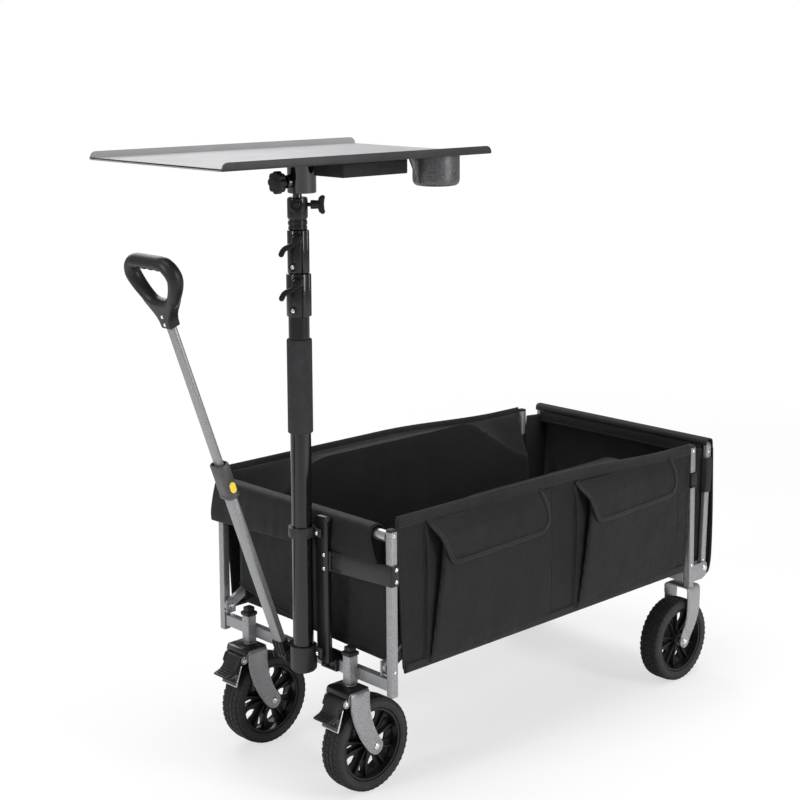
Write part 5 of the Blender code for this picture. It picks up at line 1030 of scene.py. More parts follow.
headProfile = [(radius, headFoot + up) for radius, up in (
    (0.0135, 0.0123), (0.0135, 0), (0.0158, 0), (0.0168, 0.0010), (0.0168, 0.0060), (0.0160, 0.0068), (0.0160, 0.0082),
    (0.0172, 0.0090), (0.0172, 0.0155), (0.0160, 0.0165), (0.0160, 0.0182), (0.0176, 0.0200), (0.0183, 0.0225),
    (0.0183, 0.0530), (0.0176, 0.0560), (0.0160, 0.0574), (0.0083, headHigh), (0.0083, 0.0245))]
middle = onMast(headFoot + 0.0440)
buttonProfile = [(0, 0.0018), (0.0058, 0.0017), (0.0070, 0.0008), (0.0074, 0.0), (0.0086, 0.0), (0.0092, 0.0024),
                 (0.0112, 0.0024), (0.0122, 0.0012), (0.0126, -0.007), (0, -0.007)]
head = [spunPiece(headProfile, upright, 72),
        spunPiece(buttonProfile, facing(middle + faceOut * 0.0176, faceOut), 48, closed=False)]
finishPiece(head, "mast_head_turned", "mast_top", collarPaint, ["mast_head"])

aside = Vector((math.cos(mastShape["knob"]), math.sin(mastShape["knob"]), 0))
wingShape = {"start": 0.0235, "end": 0.0500, "half": 0.0170, "depth": 0.0130, "tip": 0.0046}
s, e, h, tip = wingShape["start"], wingShape["end"], wingShape["half"], wingShape["tip"]
root = e - wingShape["depth"]
wing = ([(s + 0.002, -0.0045), (root - 0.0010, -0.0062), (root + 0.0012, -h + 0.003)]
        + arcPoints(e - 0.0056, -h + tip, tip, 210, 400, 8) + [(e - 0.0030, 0.0)]
        + arcPoints(e - 0.0056, h - tip, tip, -40, 150, 8)
        + [(root + 0.0012, h - 0.003), (root - 0.0010, 0.0062), (s + 0.002, 0.0045)])
knob = [rod(middle + aside * 0.0186, middle + aside * (s + 0.003), 0.0036, 24),
        rod(middle + aside * s, middle + aside * (root + 0.002), 0.0082, 36, 0.0074, 0.0010),
        flatShape(wing, 0.0062, standing(middle, aside), 0.0020, 3)]
finishPiece(knob, "head_wing_knob_moulded", "head_wing_knob_turn", blackPlastic, ["head_wing_knob"])
print("mast done")


# tray: plate with two upturned edges and a cup hole, its socket, star knob, box and cup holder
trayLow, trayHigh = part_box("tray")
x0, x1 = trayLow.x - frontX, trayHigh.x - frontX
y0, y1 = trayLow.y, trayHigh.y
under, edgeTop = trayLow.z, trayHigh.z
cupShape = {"x": x0 + 0.077, "y": y1 - 0.065, "radius": 0.0430, "wall": 0.0038, "low": under - 0.057}
trayShape = {"sheet": 0.0025, "corner": 0.0125, "bend": 0.0032}


def traySection():
    # the plate's section across its width: flat, with both long edges bent up round a small radius
    t = trayShape["sheet"]
    r = trayShape["bend"]
    outer = ([(y0, edgeTop)] + arcPoints(y0 + r, under + r, r, 180, 270, 6)
             + arcPoints(y1 - r, under + r, r, 270, 360, 6) + [(y1, edgeTop)])
    inner = ([(y1 - t, edgeTop)] + arcPoints(y1 - r, under + r, r - t, 360, 270, 6)
             + arcPoints(y0 + r, under + r, r - t, 270, 180, 6) + [(y0 + t, edgeTop)])
    return outer + inner


plate = flatShape(traySection(), x1 - x0, endways((x0 + x1) / 2), 0.0)
for end, x in ((-1, x0), (1, x1)):
    # the upturned edges end in a rounded corner
    r = trayShape["corner"]
    outline = ([(x - end * r, edgeTop + 0.002), (x + end * 0.002, edgeTop + 0.002), (x + end * 0.002, edgeTop - r)]
               + arcPoints(x - end * r, edgeTop - r, r, 0 if end > 0 else 180, 90, 9))
    combine(plate, flatShape(outline[::-end], y1 - y0 + 0.02, sideways((y0 + y1) / 2)), "DIFFERENCE")
cx, cy, cr, cupWall = cupShape["x"], cupShape["y"], cupShape["radius"], cupShape["wall"]
combine(plate, rod((cx, cy, under - 0.01), (cx, cy, under + 0.02), cr - cupWall, 72), "DIFFERENCE")
softenEdges(plate, 0.0005, 2, 40)
dress(smooth(plate), trayPaint)
# the second slot is painted shade, a dark copy of the tray paint
plate.data.materials.append(trayShadePaint)
for face in plate.data.polygons:
    # painted shade: the underside, the outer faces of the upturned edges and their tops get a dark copy of the tray
    # paint
    outward = face.normal.y if face.center.y > 0 else -face.normal.y
    edge = face.center.z > under + 0.0080 and face.normal.z > 0.3
    if (face.normal.z < -0.5 or outward > 0.3 or edge) and abs(face.normal.x) < 0.9:
        face.material_index = 1
finishPiece(plate, "tray_pressed", "tray_turn", None, ["tray"])

low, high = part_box("tray_device_box")
low = (low.x - frontX - 0.0140, low.y, low.z)
high = (high.x - frontX, high.y, high.z)
case = [block(low, high, 0.0028, 3), block((low[0] + 0.004, low[1] + 0.004, high[2] - 0.0090),
                                           (high[0] - 0.004, high[1] + 0.0004, high[2] - 0.0078), 0.0003)]
for i in range(9):
    x = low[0] + 0.026 + i * 0.0055
    case.append(block((x, high[1] - 0.0006, low[2] + 0.009), (x + 0.0022, high[1] + 0.0004, low[2] + 0.0175), 0.0003))
finishPiece(case, "tray_box_moulded", "tray_turn", softPlastic, ["tray_device_box"])

floor = cupShape["low"]
cupProfile = [(0, floor), (cr - 0.0120, floor), (cr - 0.0060, floor + 0.0010), (cr - 0.0022, floor + 0.0040),
              (cr - 0.0004, floor + 0.0090), (cr, floor + 0.0140), (cr, under - 0.0012), (cr - 0.0008, under - 0.0003),
              (cr - cupWall, under - 0.0003), (cr - cupWall, floor + 0.0120), (cr - 0.0090, floor + 0.0045),
              (cr - 0.0140, floor + 0.0032), (0, floor + 0.0032)]
flange = block((cx - 0.062, cy - 0.030, under - 0.0024), (cx + 0.0675, cy + 0.030, under - 0.0002), 0.0008)
combine(flange, rod((cx, cy, under - 0.01), (cx, cy, under + 0.01), cr - 0.0015, 64), "DIFFERENCE")
gusset = [(cx + cr - 0.002, under - 0.001), (cx + cr - 0.002, floor + 0.005), (cx + cr + 0.0015, floor + 0.006),
          (cx + cr + 0.0080, floor + 0.0200), (cx + 0.0655, under - 0.006), (cx + 0.0655, under - 0.001)]
cup = [spunPiece(cupProfile, Matrix.Translation((cx, cy, 0)), 96, closed=False), flange,
       flatShape(gusset, 0.0050, sideways(cy), 0.0010)]
rim = [(cr - cupWall - 0.0004, under - 0.001), (cr - cupWall - 0.0004, under + 0.0040), (cr - 0.0030, under + 0.0046),
       (cr - 0.0012, under + 0.0040), (cr - 0.0010, under + 0.0026), (cr - 0.0030, under + 0.0026),
       (cr - 0.0030, under - 0.001)]
finishPiece(cup, "cup_holder_cast", "tray_turn", cupPaint, ["cup_holder"])
finishPiece(spunPiece(rim, Matrix.Translation((cx, cy, 0)), 96), "cup_rim", "tray_turn", blackPlastic)
bright = [stud((cx + dx, cy + dy, under - 0.0024), (0, 0, -1), 0.0034, 0.0016, True)
          for dx, dy in ((0.061, 0.022), (0.061, -0.022), (-0.056, 0.022), (-0.056, -0.022))]
finishPiece(bright, "cup_screws", "tray_turn", zincSteel)

headTop = headFoot + headHigh
socketFoot = headTop + 0.0074
knobZ = under - 0.0425
mx, my = mastShape["x"], mastShape["y"]
bodyX, bodyY = mx - 0.0058, my + 0.0058    # the socket's body sits off the mast's axis, its spigot on it
socketProfile = [(0, under - 0.0003), (0.0325, under - 0.0003), (0.0330, under - 0.0010), (0.0330, under - 0.0034),
                 (0.0322, under - 0.0042), (0.0262, under - 0.0046), (0.0256, under - 0.0060),
                 (0.0256, socketFoot + 0.0020), (0.0251, socketFoot + 0.0006), (0.0240, socketFoot), (0, socketFoot)]
socket = [spunPiece(socketProfile, Matrix.Translation((bodyX, bodyY, 0)), 72, closed=False),
          rod((mx, my, headTop - 0.033), (mx, my, socketFoot + 0.001), 0.0080, 40),
          rod((mx + 0.0100, my, knobZ), (mx + 0.0270, my, knobZ), 0.0125, 40, 0.0118, 0.0006)]
finishPiece(socket, "tray_socket_turned", "tray_turn", glossPaint, ["tray_socket"])

starShape = {"radius": 0.0202, "lobes": 8, "depth": 0.075, "x": (0.0378, 0.0500)}
lobes = []
for i in range(128):
    turn = 2 * math.pi * i / 128
    wave = abs(math.cos(starShape["lobes"] / 2 * turn)) ** 0.75
    radius = starShape["radius"] * (1 - 2 * starShape["depth"] + 2 * starShape["depth"] * wave)
    lobes.append((my + radius * math.cos(turn), knobZ + radius * math.sin(turn)))
a, b = starShape["x"]
star = [flatShape(lobes, b - a, endways(mx + (a + b) / 2), 0.0022, 3),
        rod((mx + 0.0300, my, knobZ), (mx + a + 0.001, my, knobZ), 0.0075, 32, 0.0105, 0.0005),
        spunPiece([(0, 0.0010), (0.0070, 0.0008), (0.0080, 0.0), (0.0080, -0.0020), (0, -0.0020)],
                  facing((mx + b, my, knobZ), (1, 0, 0)), 40, closed=False)]
finishPiece(star, "tray_star_moulded", "tray_star_knob_turn", blackPlastic, ["tray_star_knob"])
finishPiece(rod((mx + 0.0273, my, knobZ), (mx + 0.0315, my, knobZ), 0.0038, 24), "tray_star_bolt",
            "tray_star_knob_turn", zincSteel)
print("tray done")


# pull handle: bracket, flat-oval tubes, latch collar with its button, and the D grip
handleShape = {"x": 0.0468, "z": 0.2323, "lean": math.radians(19.9), "lower": (0.0150, 0.0280), "lowerEnd": 0.346,
               "collar": (0.343, 0.411), "upper": (0.0110, 0.0220), "upperStart": 0.285, "neck": 0.684,
               "button": (0.012, 0.021, 0.3655), "loopTop": 0.122, "loopWide": 0.124, "loopRadius": 0.0118}
pinX, pinZ = handleShape["x"], handleShape["z"]
alongHandle = Matrix.Translation((pinX, 0, pinZ)) @ Matrix.Rotation(handleShape["lean"], 4, "Y")


def ovalSection(depth, width, radius, count=6):
    a, b = depth / 2 - radius, width / 2 - radius
    return (arcPoints(a, b, radius, 0, 90, count) + arcPoints(-a, b, radius, 90, 180, count)
            + arcPoints(-a, -b, radius, 180, 270, count) + arcPoints(a, -b, radius, 270, 360, count))


def handlePart(depth, width, radius, low, high, rounding=0.0008, count=6):
    return flatShape(ovalSection(depth, width, radius, count), high - low,
                     alongHandle @ Matrix.Translation((0, 0, (low + high) / 2)), rounding)


def pinRod(half, radius, sides=40, rounding=0.0):
    # a round piece along the handle's pin
    return rod((pinX, -half, pinZ), (pinX, half, pinZ), radius, sides, None, rounding)


depth, width = handleShape["lower"]
tube = handlePart(depth, width, 0.0068, 0.0, handleShape["lowerEnd"], 0.0006, 8)
inside = handlePart(depth - 0.0032, width - 0.0032, 0.0052, 0.012, handleShape["lowerEnd"] + 0.01, 0.0, 8)
combine(tube, inside, "DIFFERENCE")
heel = pinRod(width / 2 - 0.0002, depth / 2, 40, 0.0006)
for piece in (heel, tube):
    combine(piece, pinRod(0.03, 0.0043, 24), "DIFFERENCE")
finishPiece([tube, heel], "handle_lower_oval", "handle_swing", tubePaint, ["handle_lower_tube"])

# a ribbed cap closes the tube's foot between the bracket's ears
shell = [handlePart(0.0182, 0.0290, 0.0040, 0.0030, 0.0330, 0.0012, 6), pinRod(0.0145, 0.0091, 40, 0.0006)]
for y in (-0.0095, 0.0, 0.0095):
    rib = block((0.0080, y - 0.0015, 0.0040), (0.0108, y + 0.0015, 0.0322), 0.0006)
    rib.data.transform(alongHandle)
    shell.append(rib)
finishPiece(smooth(joinPieces("shell", shell)), "handle_foot_cap", "handle_swing", blackPlastic)

depth, width = handleShape["upper"]
finishPiece(handlePart(depth, width, 0.0050, handleShape["upperStart"], handleShape["neck"] + 0.016, 0.0006, 8),
            "handle_upper_oval", "handle_extend", tubePaint, ["handle_upper_tube"])

# collar: an oval sleeve with a thicker foot, an open recessed top and a raised ring round the button
low, high = handleShape["collar"]
bw, bl, along = handleShape["button"]
buttonFace = (alongHandle @ Matrix.Translation((0, 0.0370 / 2, along))
              @ Matrix(((1, 0, 0, 0), (0, 0, 1, 0), (0, -1, 0, 0), (0, 0, 0, 1))))


def buttonOutline(extra, count=9):
    reach = (bl - bw) / 2
    return barOutline((0, -reach), (0, reach), bw + extra, count)


def onButton(extra, thickness, up, rounding=0.0, segments=2, count=9):
    # a flat piece with the button's outline, made wider by extra and set up above the collar's face
    return flatShape(buttonOutline(extra, count), thickness, buttonFace @ Matrix.Translation((0, 0, up)), rounding,
                     segments)


sleeve = handlePart(0.0250, 0.0370, 0.0105, low, high, 0.0016, 10)
for cutter in (handlePart(0.0156, 0.0286, 0.0045, low - 0.01, handleShape["lowerEnd"] + jointGap, 0.0),
               handlePart(0.0116, 0.0226, 0.0045, low + 0.001, high + 0.01, 0.0),
               handlePart(0.0200, 0.0312, 0.0085, high - 0.0085, high + 0.01, 0.0, 8),
               onButton(0.0007, 0.014, 0.0)):
    combine(sleeve, cutter, "DIFFERENCE")
softenEdges(sleeve, 0.0005, 2, 40)
ringBead = sweep([buttonFace @ Vector((*place, -0.0002)) for place in buttonOutline(0.0028, 13)], 0.0009, True, 3)
foot = handlePart(0.0262, 0.0382, 0.0110, low + 0.0004, low + 0.0075, 0.0012, 10)
combine(foot, handlePart(0.0156, 0.0286, 0.0045, low - 0.01, high, 0.0), "DIFFERENCE")
finishPiece([sleeve, onButton(0.0012, 0.001, -0.0050), ringBead, foot], "handle_collar_moulded", "handle_swing",
            darkPlastic, ["handle_collar"])
finishPiece(onButton(0.0, 0.0038, 0.0006, 0.0011, 4, 15), "release_button_moulded", "release_button_press",
            yellowPlastic, ["release_button"])

# the D grip: a swept loop that thickens into the hand bar, with finger scallops under it, on a flat neck
neck = handleShape["neck"]
half = handleShape["loopWide"] / 2
top = neck + handleShape["loopTop"]
bend = 0.0270
loop = ([(y, neck + up) for y, up in ((0.0, 0.0430), (0.0150, 0.0430), (0.0290, 0.0480), (0.0400, 0.0590),
                                     (0.0495, 0.0710), (0.0575, 0.0840))]
        + arcPoints(half - bend, top - bend, bend, 0, 90, 9) + [(y, top) for y in (0.0220, 0.0110, 0.0)])
ring = loop + [(-y, z) for y, z in loop[1:-1]][::-1]
loopLine, spline = curveThrough([(0.0, y, z) for y, z in ring], True, "NURBS", handleShape["loopRadius"], 7)
spline.resolution_u = 8
for point, (y, z) in zip(spline.points, ring):
    point.radius = 0.86 + 0.22 * easeStep(z, neck + 0.03, top - 0.02)
loopPiece = curveToMesh(loopLine)
for vertex in loopPiece.data.vertices:
    vertex.co.x *= 1.12
    y, z = vertex.co.y, vertex.co.z
    if z > top - 0.030 and abs(y) < 0.048 and z < top - 0.0005:
        # four finger scallops on the underside of the hand bar
        vertex.co.z += 0.0030 * (0.5 + 0.5 * math.cos(y / 0.0105 * math.pi)) * easeStep(top - z, 0.0, 0.008)
    vertex.co = alongHandle @ vertex.co
smooth(loopPiece, 60)
rightEdge = [(y, neck + up) for y, up in ((0.0138, 0), (0.0148, 0.0110), (0.0182, 0.0200), (0.0245, 0.0290),
                                          (0.0330, 0.0385), (0.0420, 0.0490), (0.0460, 0.0560), (0.0400, 0.0580),
                                          (0.0290, 0.0510), (0.0150, 0.0465))]
neckOutline = [(-0.0138, neck)] + rightEdge + [(0.0, neck + 0.0460)] + [(-y, z) for y, z in rightEdge[:0:-1]]
neckPiece = flatShape(neckOutline, 0.0222, alongHandle @ endways(0), 0.0070, 5)
combine(neckPiece, handlePart(0.0116, 0.0226, 0.0042, neck - 0.01, neck + 0.0163, 0.0), "DIFFERENCE")
combine(neckPiece, loopPiece, "UNION")
finishPiece(smooth(neckPiece, 50), "handle_grip_moulded", "handle_extend", gripPlastic, ["handle_grip"])
bright = [stud(alongHandle @ Vector((0.0109 * front, 0, neck + s)), alongHandle.to_3x3() @ Vector((front, 0, 0)),
               0.0034, 0.0018)
          for front in (-1, 1) for s in (0.0085, 0.0235)]
finishPiece(bright, "handle_grip_rivets", "handle_extend", brightSteel)

# bracket: a ribbed block with two ears
ear = handleShape["lower"][1] / 2 + 0.0010
bracket = [block((railFace + 0.0003, -ear - 0.0045, 0.2150), (0.0225, ear + 0.0045, 0.2462), 0.0030, 3)]
for end in (-1, 1):
    y = end * (ear + 0.00225)
    bracket.append(flatShape(barOutline((0.0180, 0.2303), (pinX, pinZ), 0.0260, 13), 0.0045, sideways(y), 0.0012))
    bracket.append(rod((pinX, y + end * 0.0015, pinZ), (pinX, y + end * 0.0040, pinZ), 0.0086, 32, 0.0078, 0.0006))
    low, high = sorted((y + end * 0.0010, y + end * 0.0032))
    for x in (0.0235, 0.0290, 0.0345):
        bracket.append(block((x - 0.0010, low, 0.2195), (x + 0.0010, high, 0.2435), 0.0006))
for y in (-0.0080, 0.0, 0.0080):
    bracket.append(block((0.0215, y - 0.0011, 0.2165), (0.0240, y + 0.0011, 0.2435), 0.0006))
finishPiece(bracket, "handle_bracket_ribbed", "front_frame", blackPlastic, ["handle_bracket"])
bright = [stud((pinX, end * 0.0235, pinZ), (0, end, 0), 0.0050, 0.0022) for end in (-1, 1)]
finishPiece(bright + [pinRod(0.0215, 0.0040, 24)], "handle_pin", "front_frame", brightSteel)
print("handle done")


# gate: a bent round-cornered frame that leans back, and the rear panel that hangs on it
gateShape = {"x": gatePinX, "z": gatePinZ, "lean": math.radians(-3.0), "bar": 0.0150, "top": 0.2744, "bend": 0.014,
             "wall": 0.010, "loop": (0.1652, 0.2394)}
onGate = Matrix.Translation((gateShape["x"], 0, gateShape["z"])) @ Matrix.Rotation(gateShape["lean"], 4, "Y")


def gatePoint(x, y, z):
    return onGate @ Vector((x, y, z))


inner, outer = gateBar
top, bend = gateShape["top"], gateShape["bend"]
outline = ([(outer, 0.0)] + arcPoints(outer - bend, top - bend, bend, 0, 90, 9)
           + arcPoints(-outer + bend, top - bend, bend, 90, 180, 9) + [(-outer, 0.0), (-inner, 0.0)]
           + arcPoints(-outer + bend, top - bend, bend - gateShape["wall"], 180, 90, 7)
           + arcPoints(outer - bend, top - bend, bend - gateShape["wall"], 90, 0, 7) + [(inner, 0.0)])
bars = [flatShape(outline[::-1], gateShape["bar"], onGate @ endways(0.0), 0.0018, 3)]
bright = []
for side, label in sides:
    heel = [gatePoint(0, side * y, 0) for y in (inner + 0.0003, outer - 0.0003)]
    bars.append(rod(*heel, 0.0088, 36, None, 0.0010))
    bright += [stud(gatePoint(0, side * outer, z), (0, side, 0), 0.0030, 0.0013) for z in (0.0150, 0.2520)]
finishPiece(bars, "gate_bars_bent", "gate_swing", greyPaint, ["gate_frame"])
finishPiece(bright, "gate_rivets", "gate_swing", brightSteel)


def smoothLine(knots, count):
    # count evenly spread points on a smooth curve through the knots
    dense = []
    for i in range(len(knots) - 1):
        four = knots[max(i - 1, 0)], knots[i], knots[i + 1], knots[min(i + 2, len(knots) - 1)]
        for j in range(12):
            t = j / 12
            dense.append(tuple(0.5 * (2 * b + (c - a) * t + (2 * a - 5 * b + 4 * c - d) * t * t
                                      + (3 * b - a - 3 * c + d) * t ** 3) for a, b, c, d in zip(*four)))
    dense.append(tuple(knots[-1]))
    lengths = [0.0]
    for a, b in zip(dense, dense[1:]):
        lengths.append(lengths[-1] + math.dist(a, b))
    spread, k = [], 0
    for i in range(count):
        want = lengths[-1] * i / (count - 1)
        while k < len(dense) - 2 and lengths[k + 1] < want:
            k += 1
        part = min((want - lengths[k]) / max(lengths[k + 1] - lengths[k], 1e-9), 1.0)
        spread.append(tuple(a + (b - a) * part for a, b in zip(dense[k], dense[k + 1])))
    return spread


def sectionSheet(columns, rows, section):
    # a sheet whose section(u) gives the knots of its line across, v running along that line
    lines = {}

    def place(u, v):
        key = round(u * (columns - 1))
        if key not in lines:
            lines[key] = smoothLine(section(u), rows)
        return lines[key][round(v * (rows - 1))]
    return gridSheet(columns - 1, rows - 1, place)


def hungCloth(obj, name, body, replaced=()):
    finishPiece(obj, name, body, bagCloth, replaced)


def rearSection(u):
    # over the top bar, down behind the bars with a slack belly, and forward again under their feet
    y = -outer + 2 * outer * u
    side = easeStep(abs(y), 0.20, outer)
    slack = 1.0 - 0.55 * side
    fold = 0.0022 * ripple((y, 0, 0.3), 9.0, 3.0) + 0.0012 * ripple((y, 0, 0.7), 31.0, 8.0)
    return [gatePoint(x, y, z) for x, z in (
        (0.0088, top - 0.0085), (0.0090, top - 0.0010), (0.0062, top + 0.0030), (-0.0060, top + 0.0031),
        (-0.0098, top - 0.0040), (-0.0120, top - 0.030 + fold), (-0.0145 - 0.004 * slack + fold, top - 0.090),
        (-0.0165 - 0.010 * slack + fold * 1.6, 0.110), (-0.0185 - 0.010 * slack + fold * 1.8, 0.045),
        (-0.0190 - 0.006 * slack + fold, 0.010), (-0.0150 - 0.003 * slack, -0.0100), (-0.0080, -0.0180 + 0.004 * side),
        (-0.0010, -0.0185 + 0.006 * side))]


panel = thicken(sectionSheet(90, 84, rearSection), 0.0024, 1.0)
edges = []
for side, label in sides:
    line = smoothLine(rearSection(0.0 if side < 0 else 1.0), 60)[8:]
    edges.append(sweep([Vector(place) + Vector((0, side * 0.0004, 0)) for place in line], 0.0021))
edging = finishPiece(edges, "rear_panel_edging", "gate_swing", hemCloth)
sleeve = gridSheet(70, 10, lambda u, v: gatePoint(
    0.0092 + 0.0006 * ripple((u, v, 0), 22.0) + 0.0012 * math.sin(v * math.pi), -0.2340 + 0.468 * u,
    top + 0.001 - 0.036 * (1 - v)))
inside = finishPiece(thicken(sleeve, 0.0018, 0.0), "rear_panel_sleeve", "gate_swing", bagCloth)
seams = [stitches([gatePoint(x, y, top - 0.030) for y in (-end, -0.12, 0.0, 0.12, end)])
         for x, end in ((0.0112, 0.232), (-0.0156, 0.240))]
seam = finishPiece(seams, "rear_panel_thread", "gate_swing", threadLook)
# gathered gussets between the bars and the bag, and a cloth loop round each bar
barMiddle = (inner + outer) / 2
lowEnd, highEnd = gateShape["loop"]
ring = ovalSection(0.0194, 0.0150, 0.0045, 5)


def gussetPlace(side, u, v):
    gather = 0.0016 * (1 + math.sin(u * 9.0 + v * 3.0)) * u - 0.0010 * ripple((u, v * 3, 0), 2.0, 4.0)
    return gatePoint(-0.0120 + (0.0400 + 0.0290 * easeStep(v, 0.10, 0.30)) * u, side * (0.2340 - gather),
                     0.018 + (top - 0.034) * v)


def loopPlace(side, u, v):
    a, b = ring[round(u * len(ring)) % len(ring)]
    swell = math.sin(v * math.pi)
    return gatePoint(a * (1 + 0.10 * swell) + 0.0004 * ripple((u * 3, v * 8, 0), 1.4),
                     side * (barMiddle + b * (1 + 0.08 * swell)), lowEnd + (highEnd - lowEnd) * v)


gussets, loops = [], []
for side, label in sides:
    gussets.append(thicken(gridSheet(14, 34, lambda u, v: gussetPlace(side, u, v)), 0.0018, 0.0))
    tube = mergeDoubles(gridSheet(len(ring), 18, lambda u, v: loopPlace(side, u, v)))
    loops.append(thicken(tube, 0.0016, 0.0))
    for z in (lowEnd + 0.003, highEnd - 0.003):
        loops.append(sweep([gatePoint(a * 1.03, side * (barMiddle + b * 1.03), z) for a, b in ring], 0.0010, True, 2))
gusset = finishPiece(gussets, "rear_panel_gussets", "gate_swing", liningCloth)
loop = finishPiece(loops, "gate_cloth_loops", "gate_swing", hemCloth)
hungCloth(panel, "rear_panel_cloth", "gate_swing",
          ["bag_gate_panel"])
print("gate done")


# bag side walls: one wall is made on the left, then mirrored
bagShape = {"half": 0.2512, "top": (0.5310, 0.5150), "hem": 0.2455, "front": (-0.0078, -0.0235),
            "rear": (-0.8432, -0.8270), "corner": 0.009, "cloth": 0.0026}
bagHalf, bagHem = bagShape["half"], bagShape["hem"]
pockets = ({"seams": (-0.0740, -0.4030), "low": 0.2500, "high": 0.5100, "flap": (0.5135, 0.4262), "deep": 0.0200,
            "seed": 1.0},
           {"seams": (-0.4720, -0.7970), "low": 0.2490, "high": 0.5010, "flap": (0.5050, 0.4190), "deep": 0.0185,
            "seed": 6.0})


def rimHeight(x):
    front, rear = bagShape["top"]
    return front + (rear - front) * easeStep(-x, 0.42, 0.78)


def share(value, start, end):
    # how far value lies from start to end, kept within 0 and 1
    return min(max((value - start) / (end - start), 0.0), 1.0)


def roundInset(corner, height):
    # how far a rounded corner cuts in, height above the lower edge
    drop = max(0.0, corner - height)
    return corner - math.sqrt(max(corner * corner - drop * drop, 0.0))


def wallEdges(z):
    # the wall's two ends lean apart upwards and have rounded lower corners
    up = (z - bagHem) / (bagShape["top"][0] - bagHem)
    inset = roundInset(bagShape["corner"], z - bagHem)
    front, rear = (low + (high - low) * up for high, low in (bagShape["front"], bagShape["rear"]))
    return front - inset, rear + inset


def wallOut(x, z):
    # how far the wall's outer face stands out at a place: a slack belly, soft creases, gathers near its ends
    front, rear = wallEdges(z)
    along, up = share(x, front, rear), share(z, bagHem, rimHeight(x))
    belly = 0.0050 * math.sin(math.pi * along) ** 0.6 * math.sin(math.pi * min(up * 1.04, 1.0)) ** 0.7
    fromEnd = min(front - x, x - rear)
    ends = easeStep(fromEnd, 0.0, 0.010)
    crease = 0.0012 * ripple((x, z * 0.5, 0), 26.0, 1.5) + 0.0007 * ripple((x * 1.6, z, 0), 70.0, 4.0)
    gather = (1.0 - easeStep(fromEnd, 0.02, 0.075)) * (0.0016 * ripple((x * 2.2, z * 0.9, 0), 52.0, 7.0)
                                                       + 0.0010 * ripple((x, z, 0), 120.0, 9.0))
    edge = easeStep(min(up, 1.0 - up), 0.0, 0.05)
    return bagHalf + (belly + (crease + gather) * edge) * ends + 0.0006 * (1 - ends)


def wallPlace(u, v):
    front, rear = wallEdges(bagHem + (bagShape["top"][0] - bagHem) * v)
    x = front + (rear - front) * u
    z = bagHem + (rimHeight(x) - bagHem) * v
    return (x, wallOut(x, z), z)


def pocketDepth(pocket, x, up):
    # the pouch's envelope: deepest at its front gusset, sewn flat along its rear seam
    seamFront, seamRear = pocket["seams"]
    crest = seamFront - (0.0110 + 0.0280 * up)
    deep = pocket["deep"] * (0.30 + 0.70 * easeStep(up, -0.15, 0.75))
    return crest, deep, 1.0 - share(x, crest, seamRear) ** 1.3


def pocketSection(pocket, up):
    # seam, gusset folded in towards the wall, crest, then the pouch's face running back to its rear seam
    seamFront, seamRear = pocket["seams"]
    seed = pocket["seed"]
    z = pocket["low"] + (pocket["high"] - pocket["low"]) * up
    crest, deep = pocketDepth(pocket, seamFront, up)[:2]
    wave = 1.0 + 0.16 * ripple((0.0, z, 0.0), 14.0, seed) + 0.05 * math.sin(up * 9.0 + seed)
    deep = deep * wave * min(1.0, 0.25 + up * 9.0) * (0.04 + 0.96 * easeStep(pocket["flap"][0] - z, 0.004, 0.044))
    fold = 0.0050 + 0.0040 * ripple((0.3, z, 0.0), 11.0, seed + 2)
    knots = [(seamFront, 0.0), (seamFront - 0.0030, 0.0012 + 0.1 * deep),
             (crest + fold * 0.2 - 0.0100, 0.0014 + 0.12 * deep), (crest + 0.0040, 0.62 * deep),
             (crest - 0.0010, 0.98 * deep), (crest - 0.0180, 0.95 * deep)]
    for part in (0.22, 0.45, 0.68, 0.88):
        x = crest + (seamRear - crest) * part
        sag = (0.0018 * ripple((x, z, 0.0), 17.0, seed)
               + 0.0030 * math.exp(-((part - 0.15) / 0.1) ** 2) * (up - 0.5))
        knots.append((x, deep * (1.0 - part ** 1.3) + sag * min(1.0, 3 * part)))
    return z, knots + [(seamRear, 0.0)]


def pouch(pocket, columns=84, rows=52):
    lines = []
    for j in range(rows):
        z, knots = pocketSection(pocket, j / (rows - 1))
        line = smoothLine(knots, columns)
        lines.append([(x, wallOut(x, z) + 0.0008 + max(out, 0.0), z) for x, out in line])
    obj = gridSheet(columns - 1, rows - 1, lambda u, v: lines[round(v * (rows - 1))][round(u * (columns - 1))])
    return thicken(obj, 0.0018, -1.0)


def flapEdges(pocket, z):
    # the flap leans back with the pouch's crest and has rounded lower corners
    high, low = pocket["flap"]
    down = (high - z) / (high - low)
    front = pocket["seams"][0] - 0.0010 - 0.0430 * down
    rear = pocket["seams"][1] + 0.0250 - 0.0170 * math.sin(min(down * 1.25, 1.0) * math.pi / 2)
    return front - roundInset(0.014, z - low), rear + roundInset(0.034, z - low)


def flapOut(pocket, x, z):
    seed = pocket["seed"]
    deep, rest = pocketDepth(pocket, x, share(z, pocket["low"], pocket["high"]))[1:]
    hang = easeStep(pocket["flap"][0] - z, 0.0, 0.034)
    lobe = easeStep(pocket["seams"][1] + 0.060 - x, 0.0, 0.060)
    wave = 0.0012 * ripple((x, z, 0.0), 13.0, seed + 3) + 0.0006 * ripple((x, z, 0.0), 47.0, seed + 5)
    out = 0.0012 + hang * (deep * rest * 1.04 + 0.0034 + 0.0030 * lobe) + wave * hang
    return wallOut(x, min(z, rimHeight(x) - 0.012)) + out


def flap(pocket, columns=70, rows=30):
    high, low = pocket["flap"]

    def place(u, v):
        z = low + (high - low) * v ** 1.5
        front, rear = flapEdges(pocket, z)
        x = front + (rear - front) * u
        return (x, flapOut(pocket, x, z), z)
    return thicken(gridSheet(columns, rows, place), 0.0020, -1.0)


